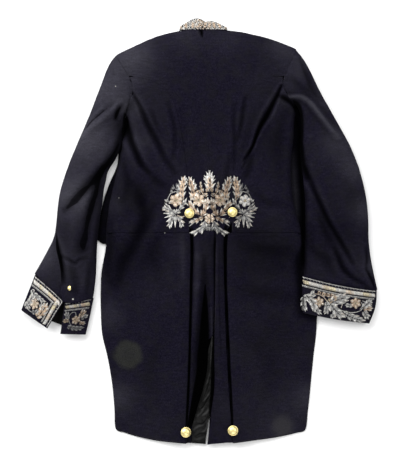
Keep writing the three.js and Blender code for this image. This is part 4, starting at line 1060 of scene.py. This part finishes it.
cuffRightRows = {
    "corners": ((246, -108), (423, -143), (245, -193), (407, -219)), "size": (178, 82), "dip": 4,
    "blocks": (0.98, 0.52, 0.45, 0.62, 0.97, 0.50, 0.46, 0.60, 0.48, 0.52, 0.97, 0.50),
    "leaves": [
        ((2, 46), (28, 26), 7.5, 0.46, 0.49, 3, 0.20), ((8, 40), (34, 73), 10, 0.46, 0.51, 3, -0.12),
        ((3, 46), (8, 78), 7, 0.44, 0.48, 3, 0.06), ((36, 27), (84, 25), 5, 0.60, 0.49, 4, 0.04),
        ((66, 44), (86, 27), 6, 0.57, 0.90, 2, 0.0), ((60, 44), (58, 74), 7, 0.46, 0.50, 3, -0.1),
        ((70, 47), (114, 24), 12, 0.46, 0.51, 3, -0.06), ((72, 48), (108, 74), 11, 0.46, 0.52, 3, 0.08),
        ((104, 63), (164, 77), 8.5, 0.45, 0.50, 4, 0.05), ((152, 46), (170, 24), 8, 0.46, 0.50, 3, 0.0),
        ((154, 48), (177, 44), 6.5, 0.57, 0.50, 2, 0.0), ((155, 54), (172, 72), 7, 0.46, 0.50, 2, 0.0),
        ((126, 44), (108, 44), 5, 0.50, 0.47, 2, 0.0), ((28, 66), (50, 76), 6, 0.46, 0.50, 2, 0.0),
        ((86, 70), (74, 79), 5, 0.46, 0.49, 2, 0.0),
    ],
    "rosettes": [((42, 49), 13.5, 0.68, 6), ((132, 36), 15, 0.70, 6)],
    "cords": [
        ([(6, 42), (20, 36), (34, 32), (50, 34), (62, 44)], 1.8, 0.60),
        ([(62, 44), (66, 36), (70, 46)], 1.8, 0.98),
        ([(70, 46), (90, 56), (108, 60), (130, 60), (146, 54), (152, 46)], 2.0, 0.46),
        ([(148, 28), (156, 32), (154, 44)], 1.8, 0.45), ([(146, 32), (150, 40), (146, 50)], 1.6, 0.40),
        ([(58, 52), (64, 58), (66, 68), (60, 66)], 1.6, 0.46), ([(92, 30), (100, 40), (98, 52)], 1.6, 0.56),
    ],
}


def cuffBorder(length, blocks):
    # cord, dark gap with bars, lace, gap and a double cord
    def edging(y, *looks):
        return cord([(0, y), (length / 2, y), (length, y)], *looks)

    laid = edging(1, 1.9, 0.47, 0.42) + lace(length, 6.2, 16.8, blocks)
    laid += edging(19.8, 1.7, 0.46) + edging(22, 1.3, 0.34)
    for s in np.arange(3.0, length - 2, 7.5):
        laid += pad((s, 1.8), math.radians(80), 3.6, 1.6, 0.34, 0.7)
    return laid


# The left cuff's two ends, across from the outer (then the inner) edge and down from the upper edge
cuffOuterRows = {
    "corners": ((-397, -108), (-330, -167), (-428, -188), (-369, -230)), "size": (90, 82), "dip": -3,
    "leaves": [
        ((4, 29), (54, 32), 6, 0.46, 0.50, 4, 0.10), ((50, 78), (60, 33), 10.5, 0.58, 0.50, 3, 0.06),
        ((4, 74), (11, 36), 8, 0.45, 0.50, 3, 0.14), ((44, 44), (58, 54), 5, 0.44, 0.48, 2, 0.0),
        ((22, 72), (2, 62), 5, 0.46, 0.44, 2, 0.0), ((32, 75), (50, 62), 5.5, 0.34, 0.42, 2, 0.0),
    ],
    "rosettes": [((29, 54), 14.5, 0.66, 6)],
    "cords": [
        ([(6, 66), (8, 48), (20, 36), (38, 36), (48, 46), (50, 58)], 2.2, 0.47),
        ([(10, 70), (24, 75), (42, 72)], 1.6, 0.40),
    ],
}
cuffInnerRows = {
    "corners": ((-323, -172), (-261, -162), (-334, -243), (-278, -244)), "size": (64, 82), "dip": 0,
    "leaves": [
        ((12, 46), (4, 24), 5.5, 0.38, 0.44, 2, 0.0), ((16, 48), (0, 50), 4.6, 0.62, 0.97, 2, 0.0),
        ((42, 42), (52, 24), 6, 0.66, 0.58, 2, 0.0), ((14, 64), (58, 68), 6, 0.28, 0.34, 4, 0.08),
        ((46, 46), (62, 38), 4.6, 0.40, 0.44, 2, 0.0), ((44, 56), (60, 58), 4.6, 0.60, 0.36, 2, 0.0),
    ],
    "rosettes": [((34, 48), 12.5, 0.72, 6)],
    "cords": [([(12, 44), (18, 30), (28, 28), (32, 36)], 1.8, 0.34),
              ([(14, 46), (20, 58), (30, 66)], 1.6, 0.30)],
}


def collarOrnament():
    # close small leaves, rising from the neck seam over the whole standing collar
    low, high = (np.array(corner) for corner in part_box("collar_embroidery"))
    low, high = ((corner - np.array(planOrigin)) / mm for corner in (low, high))
    laid = []
    for row, y in enumerate(np.arange(low[1] + 1.5, high[1], 3.4)):
        for x in np.arange(low[0] + 1.5 + 2 * (row % 2), high[0], 4.0):
            turn = math.radians(90 + 34 * math.sin(x / 7.5 + row * 0.9) + hand.uniform(-12, 12))
            tint = 0.52 + 0.09 * math.sin(x / 11 + 1) + hand.uniform(-0.05, 0.07)
            laid += pad((x, y - 2), turn, 6.5, 3.4, tint, 0.8, 0.0, 0.06)
    for x in np.arange(low[0] + 8, high[0] - 6, 13.5):
        tip = (x + 7 * math.sin(x), low[1] + 18)
        laid += leaf((x, low[1] + 1), tip, 6, 0.56, 0.52, 3, lift=0.8, vein=0.30)
    # dark pads at the middle of the neck seam, painted shade of the crease there
    for x, y, degrees, length in ((-2, 0, 100, 8), (3, 1, 65, 7), (9, 0, 35, 6), (-8, 0, 150, 6)):
        laid += pad((x, low[1] + y), math.radians(degrees), length, 2.8, 0.02, 1.0, 1.2)
    solid = made["collar"].data
    shape = BVHTree.FromPolygons([vertex.co for vertex in solid.vertices],
                                 [face.vertices for face in solid.polygons])

    def over(point):
        return shape.ray_cast(onPlan(*point, 200), Vector((0, 0, -1)))[0] is not None

    kept = []
    for start, stop, *rest in laid:
        for share in (1.0, 0.75, 0.5):  # a pad that runs past the collar's curved upper edge is cut short
            end = tuple(np.array(start) * (1 - share) + np.array(stop) * share)
            if over((start[0], max(start[1], low[1] + 2.5))) and over((end[0], max(end[1], low[1] + 2.5))):
                kept.append((start, end, *rest))
                break
    return kept


# Which ornament each piece shows, how bright it is, the cloth it lies on, and if a seam cuts it at its left
# and at its right
ornamentPieces = {
    "waist_embroidery_left": ("waistSprayLeft", "waist", 1.03, ("side_body_left", "skirt_left"), (0, 1)),
    "waist_embroidery_centre_left": ("waistSprayMidLeft", "waist", 1.03, ("back_left", "skirt_left"), (1, 1)),
    "waist_embroidery_centre_right": ("waistSprayMidRight", "waist", 1.03, ("back_right", "skirt_right"),
                                      (1, 1)),
    "waist_embroidery_right": ("waistSprayRight", "waist", 1.03, ("side_body_right", "skirt_right"), (1, 0)),
    "cuff_embroidery_right": ("cuffLaceRight", "cuffRight", 0.76, ("cuff_right", None), (0, 0)),
    "cuff_embroidery_left_outer": ("cuffLaceOuter", "cuffOuter", 0.89, ("cuff_left", None), (0, 0)),
    "cuff_embroidery_left_inner": ("cuffLaceInner", "cuffInner", 0.56, ("cuff_left", None), (0, 0)),
    "collar_embroidery": ("collarLeaves", "collar", 0.95, ("collar", "back_left"), (0, 0)),
}


def cuffOuterOrnament():
    rows = cuffOuterRows
    across = rows["size"][0]
    top = cuffBorder(across, (0.50, 0.97, 0.52, 0.98, 0.62, 0.50))
    top = [row for row in top if row[0][0] < across - row[0][1] + 1]
    turned = cuffBorder(rows["size"][1] - 2, (0.52, 0.97, 0.50, 0.62, 0.50))
    side = [row for row in moved(turned, lambda s, t: (across - t, s)) if row[0][1] > across - row[0][0] - 1]
    return top + side + layRows(rows)


def ornamentRows(kind):
    if kind == "waist":
        return waistOrnament(waistRows)
    if kind == "collar":
        return collarOrnament()
    rows = {"cuffRight": cuffRightRows, "cuffOuter": cuffOuterRows, "cuffInner": cuffInnerRows}[kind]
    if kind == "cuffOuter":
        laid = cuffOuterOrnament()
    elif kind == "cuffRight":
        laid = cuffBorder(177, rows["blocks"]) + layRows(rows)
    else:
        laid = cuffBorder(62, (0.98, 0.52, 0.98, 0.30, 0.66, 0.97)) + layRows(rows)
    return moved(laid, band(rows["corners"], *rows["size"], rows["dip"]))


def ornamentTree():
    # each point becomes a pad with its own turn, size and bend, laid down on the cloth and cut at its seams
    tree = bpy.data.node_groups.new("ornament", "GeometryNodeTree")
    for label, kind in (("Points", "Geometry"), ("Ground", "Object"), ("Second Ground", "Object"),
                        ("Cut Left", "Float"), ("Cut Right", "Float"), ("Level", "Float"), ("Point", "Float"),
                        ("Thread", "Material")):
        tree.interface.new_socket(label, in_out="INPUT", socket_type="NodeSocket" + kind)
    tree.interface.new_socket("Ornament", in_out="OUTPUT", socket_type="NodeSocketGeometry")
    given, out = tree.nodes.new("NodeGroupInput").outputs, tree.nodes.new("NodeGroupOutput")

    def step(kind, shape, **inputs):
        return addNode(tree, kind, {"Geometry": shape, **inputs}).outputs[0]

    def named(name, kind):
        node = addNode(tree, "GeometryNodeInputNamedAttribute", {"Name": name}, data_type=kind)
        return node.outputs["Attribute"]

    def store(shape, name, value, kind, domain="POINT"):
        inputs = {"Geometry": shape, "Name": name, "Value": value}
        node = addNode(tree, "GeometryNodeStoreNamedAttribute", inputs, data_type=kind, domain=domain)
        return node.outputs["Geometry"]

    def place():
        return apart(tree.nodes.new("GeometryNodeInputPosition").outputs[0])

    def apart(value):
        return addNode(tree, "ShaderNodeSeparateXYZ", {0: value}).outputs

    def vector(x, y, z):
        return addNode(tree, "ShaderNodeCombineXYZ", {0: x, 1: y, 2: z}).outputs[0]

    plus, minus, times = sums(tree, "ADD", "SUBTRACT", "MULTIPLY")
    ball = addNode(tree, "GeometryNodeMeshUVSphere",
                   {"Segments": ornament["slices"], "Rings": ornament["rings"], "Radius": 0.5})
    shape = store(ball.outputs["Mesh"], "lay", ball.outputs["UV Map"], "FLOAT_VECTOR", "CORNER")
    x, y, z = place()
    slim = minus(1.0, times(z, given["Point"]))
    long, low = times(x, slim), calc(tree, "MAXIMUM", y, ornament["foot"])
    shape = step("GeometryNodeSetPosition", shape, Position=vector(z, long, low))
    shape = store(shape, "along", place()[0], "FLOAT")
    shape = store(shape, "crown", place()[2], "FLOAT")
    turn, size = named("turn", "FLOAT"), named("size", "FLOAT_VECTOR")
    turned = addNode(tree, "FunctionNodeEulerToRotation", {0: vector(0.0, 0.0, turn)}).outputs[0]
    inputs = {"Points": given["Points"], "Instance": shape, "Rotation": turned, "Scale": size}
    shape = addNode(tree, "GeometryNodeInstanceOnPoints", inputs).outputs[0]
    shape = step("GeometryNodeRealizeInstances", shape)
    long, wide, _ = apart(size)
    lay = apart(named("lay", "FLOAT_VECTOR"))
    threadAt = vector(times(times(lay[1], long), 1000.0), times(times(lay[0], wide), 3000.0), 0.0)
    shape = store(shape, "UVMap", threadAt, "FLOAT2", "CORNER")
    along = named("along", "FLOAT")
    bow = minus(1.0, times(times(along, along), 4.0))
    bow = times(times(bow, long), named("bend", "FLOAT"))
    x, y, z = place()
    x = minus(x, times(bow, calc(tree, "SINE", turn)))
    y = plus(y, times(bow, calc(tree, "COSINE", turn)))
    x = calc(tree, "MINIMUM", calc(tree, "MAXIMUM", x, given["Cut Left"]), given["Cut Right"])
    grounds = tree.nodes.new("GeometryNodeJoinGeometry")
    for label in ("Ground", "Second Ground"):
        ground = addNode(tree, "GeometryNodeObjectInfo", {"Object": given[label]}).outputs["Geometry"]
        tree.links.new(ground, grounds.inputs[0])
    ray = addNode(tree, "GeometryNodeRaycast", {
        "Target Geometry": grounds.outputs[0], "Source Position": vector(x, y, 1.0),
        "Ray Direction": (0.0, 0.0, -1.0), "Ray Length": 2.0,
    }).outputs
    up = addNode(tree, "ShaderNodeVectorMath", {0: ray["Hit Normal"], "Scale": z}, operation="SCALE")
    laid = vectorSum(tree, "ADD", ray["Hit Position"], up.outputs[0])
    choice = tree.nodes.new("GeometryNodeSwitch")
    choice.input_type = "VECTOR"
    for index, value in enumerate((ray["Is Hit"], vector(x, y, plus(z, given["Level"])), laid)):
        tree.links.new(value, choice.inputs[index])
    shape = step("GeometryNodeSetPosition", shape, Position=choice.outputs[0])
    for name in ("lay", "along", "turn", "size", "bend"):
        shape = step("GeometryNodeRemoveAttribute", shape, Name=name)
    shape = step("GeometryNodeSetShadeSmooth", shape)
    shape = step("GeometryNodeSetMaterial", shape, Material=given["Thread"])
    tree.links.new(shape, out.inputs[0])
    return tree


def makeOrnament(node, row, laid, tree):
    name, kind, bright, on, (cutLeft, cutRight) = row
    low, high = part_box(node)
    mesh = bpy.data.meshes.new(node)
    points, columns = [], {"turn": [], "size": [], "bend": [], "tint": []}
    for start, stop, width, tint, tall, lift, bend in laid:
        middle = onPlan((start[0] + stop[0]) / 2, (start[1] + stop[1]) / 2)
        if kind == "waist" and not low.x <= middle.x < high.x + ornament["seamGap"] * mm:
            continue
        run = (stop[0] - start[0], stop[1] - start[1])
        points.append((middle.x, middle.y, (lift + ornament["raised"] * tall) * mm))
        columns["turn"].append(math.atan2(run[1], run[0]))
        columns["size"] += [math.hypot(*run) * mm, width * mm, tall * mm]
        columns["bend"].append(bend)
        columns["tint"].append(min(max(tint, 0.0), 1.0))
    mesh.from_pydata(points, [], [])
    for label, values in columns.items():
        form, slot = ("FLOAT_VECTOR", "vector") if label == "size" else ("FLOAT", "value")
        mesh.attributes.new(label, form, "POINT").data.foreach_set(slot, values)
    piece = newObject(name, mesh)
    layer = piece.modifiers.new("ornament", "NODES")
    layer.node_group = tree
    grounds = [made.get(ground) for ground in on]
    beyond = 9.0  # past everything, where nothing cuts it
    values = {"Ground": grounds[0], "Second Ground": grounds[1], "Level": low.z, "Point": ornament["point"],
              "Cut Left": low.x if cutLeft else -beyond, "Cut Right": high.x if cutRight else beyond,
              "Thread": metalThread}
    for socket in tree.interface.items_tree:
        if socket.in_out == "INPUT" and socket.name in values:
            layer[socket.identifier] = values[socket.name]
    settled(piece)
    shine = piece.data.attributes.new("bright", "FLOAT", "POINT")
    shine.data.foreach_set("value", [bright] * len(piece.data.vertices))
    return handOver(piece, node)


tree = ornamentTree()
laidRows = {}
for node, row in ornamentPieces.items():
    kind = row[1]
    if kind not in laidRows:
        laidRows[kind] = ornamentRows(kind)
    made[node] = makeOrnament(node, row, laidRows[kind], tree)
print("ornament made:", {kind: len(laid) for kind, laid in laidRows.items()}, "pads")

# Buttons: plain gilt domes with a turned rim, each profile point a share of the radius and of the height
buttonSides = 32
buttonProfile = [(0.80, 0.0), (0.96, 0.05), (1.0, 0.15), (0.985, 0.23), (0.93, 0.29), (0.885, 0.285),
                 (0.86, 0.32), (0.79, 0.50), (0.66, 0.70), (0.47, 0.87), (0.25, 0.97)]
buttonRows = {
    "hip_button_left": {},
    "hip_button_right": {},
    "hem_button_left": {"lean": 13},
    "hem_button_right": {},
    "cuff_button_left": {"seat": (-312, -135, 30), "radius": 6.4, "high": 5.5, "lean": -56},
}


def makeButton(node, row):
    low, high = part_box(node)
    seat = Vector(((low.x + high.x) / 2, (low.y + high.y) / 2, low.z))
    radius, tall = (high.x - low.x) / 2, high.z - low.z
    if "seat" in row:
        seat, radius, tall = onPlan(*row["seat"]), row["radius"] * mm, row["high"] * mm
    lathe = bmesh.new()
    turns = [2 * math.pi * k / buttonSides for k in range(buttonSides)]
    rings = [[lathe.verts.new((radius * r * math.cos(turn), radius * r * math.sin(turn), tall * z))
              for turn in turns] for r, z in buttonProfile]
    foot, top = lathe.verts.new((0, 0, 0)), lathe.verts.new((0, 0, tall))
    for k in range(buttonSides):
        after = (k + 1) % buttonSides
        lathe.faces.new((foot, rings[0][after], rings[0][k]))
        lathe.faces.new((top, rings[-1][k], rings[-1][after]))
        for lower, upper in zip(rings, rings[1:]):
            lathe.faces.new((lower[k], lower[after], upper[after], upper[k]))
    for face in lathe.faces:
        face.smooth = True
    turn = Matrix.Rotation(math.radians(row.get("lean", 0)), 4, "Y")
    lathe.transform(Matrix.Translation(seat) @ turn)
    mesh = bpy.data.meshes.new(node)
    lathe.to_mesh(mesh)
    lathe.free()
    return handOver(newObject(pieceName(node), mesh, giltBrass), node)


for node, row in buttonRows.items():
    made[node] = makeButton(node, row)
print("buttons made")

# Stage: a plain pale floor, soft light from all round and a camera straight above
stage = {
    "floor": 4.0,
    "floorColour": (0.86, 0.86, 0.86, 1),
    "sky": 0.48,
    "above": 3.0,  # the camera's height over the coat, how much of its length it sees and where its middle is
    "seenLong": 1.104,
    "seenAt": (14.3, 3.9),
    "coatHigh": 0.02,
    "lamps": [("lampLeft", (-2.0, 1.1, 1.3), 1.4, 66), ("lampRight", (2.1, 0.5, 1.6), 1.5, 30),
              ("lampTop", (-0.4, 2.1, 1.5), 1.4, 50), ("lampFoot", (0.4, -2.2, 1.8), 1.6, 24)],
}
floorMesh = bpy.data.meshes.new("floor")
half = stage["floor"] / 2
corners = [(-half, -half, 0), (half, -half, 0), (half, half, 0), (-half, half, 0)]
floorMesh.from_pydata(corners, [], [(0, 1, 2, 3)])
floorFinish, _, floorShader = newMaterial("paleFloor", Roughness=0.9, Specular_IOR_Level=0.1)
floorShader.inputs["Base Color"].default_value = stage["floorColour"]
floor = newObject("floor", floorMesh, floorFinish)
floor.location.z = -0.5 * mm

world = bpy.data.worlds.new("studio")
world.use_nodes = True
world.node_tree.nodes["Background"].inputs["Color"].default_value = (1, 1, 1, 1)
world.node_tree.nodes["Background"].inputs["Strength"].default_value = stage["sky"]
scene.world = world
for name, place, size, power in stage["lamps"]:
    lamp = bpy.data.lights.new(name, "AREA")
    lamp.shape, lamp.size, lamp.energy = "SQUARE", size, power
    holder = bpy.data.objects.new(name, lamp)
    holder.location = place
    holder.rotation_euler = (-Vector(place)).to_track_quat("-Z", "Y").to_euler()
    scene.collection.objects.link(holder)

camera = bpy.data.objects.new("camera", bpy.data.cameras.new("camera"))
scene.collection.objects.link(camera)
camera.location = Vector((*stage["seenAt"], 0)) * mm + Vector((0, 0, stage["above"] + stage["coatHigh"]))
camera.data.lens = camera.data.sensor_width * stage["above"] / stage["seenLong"]
camera.data.clip_end = 20
scene.camera = camera
scene.view_settings.view_transform = "Standard"
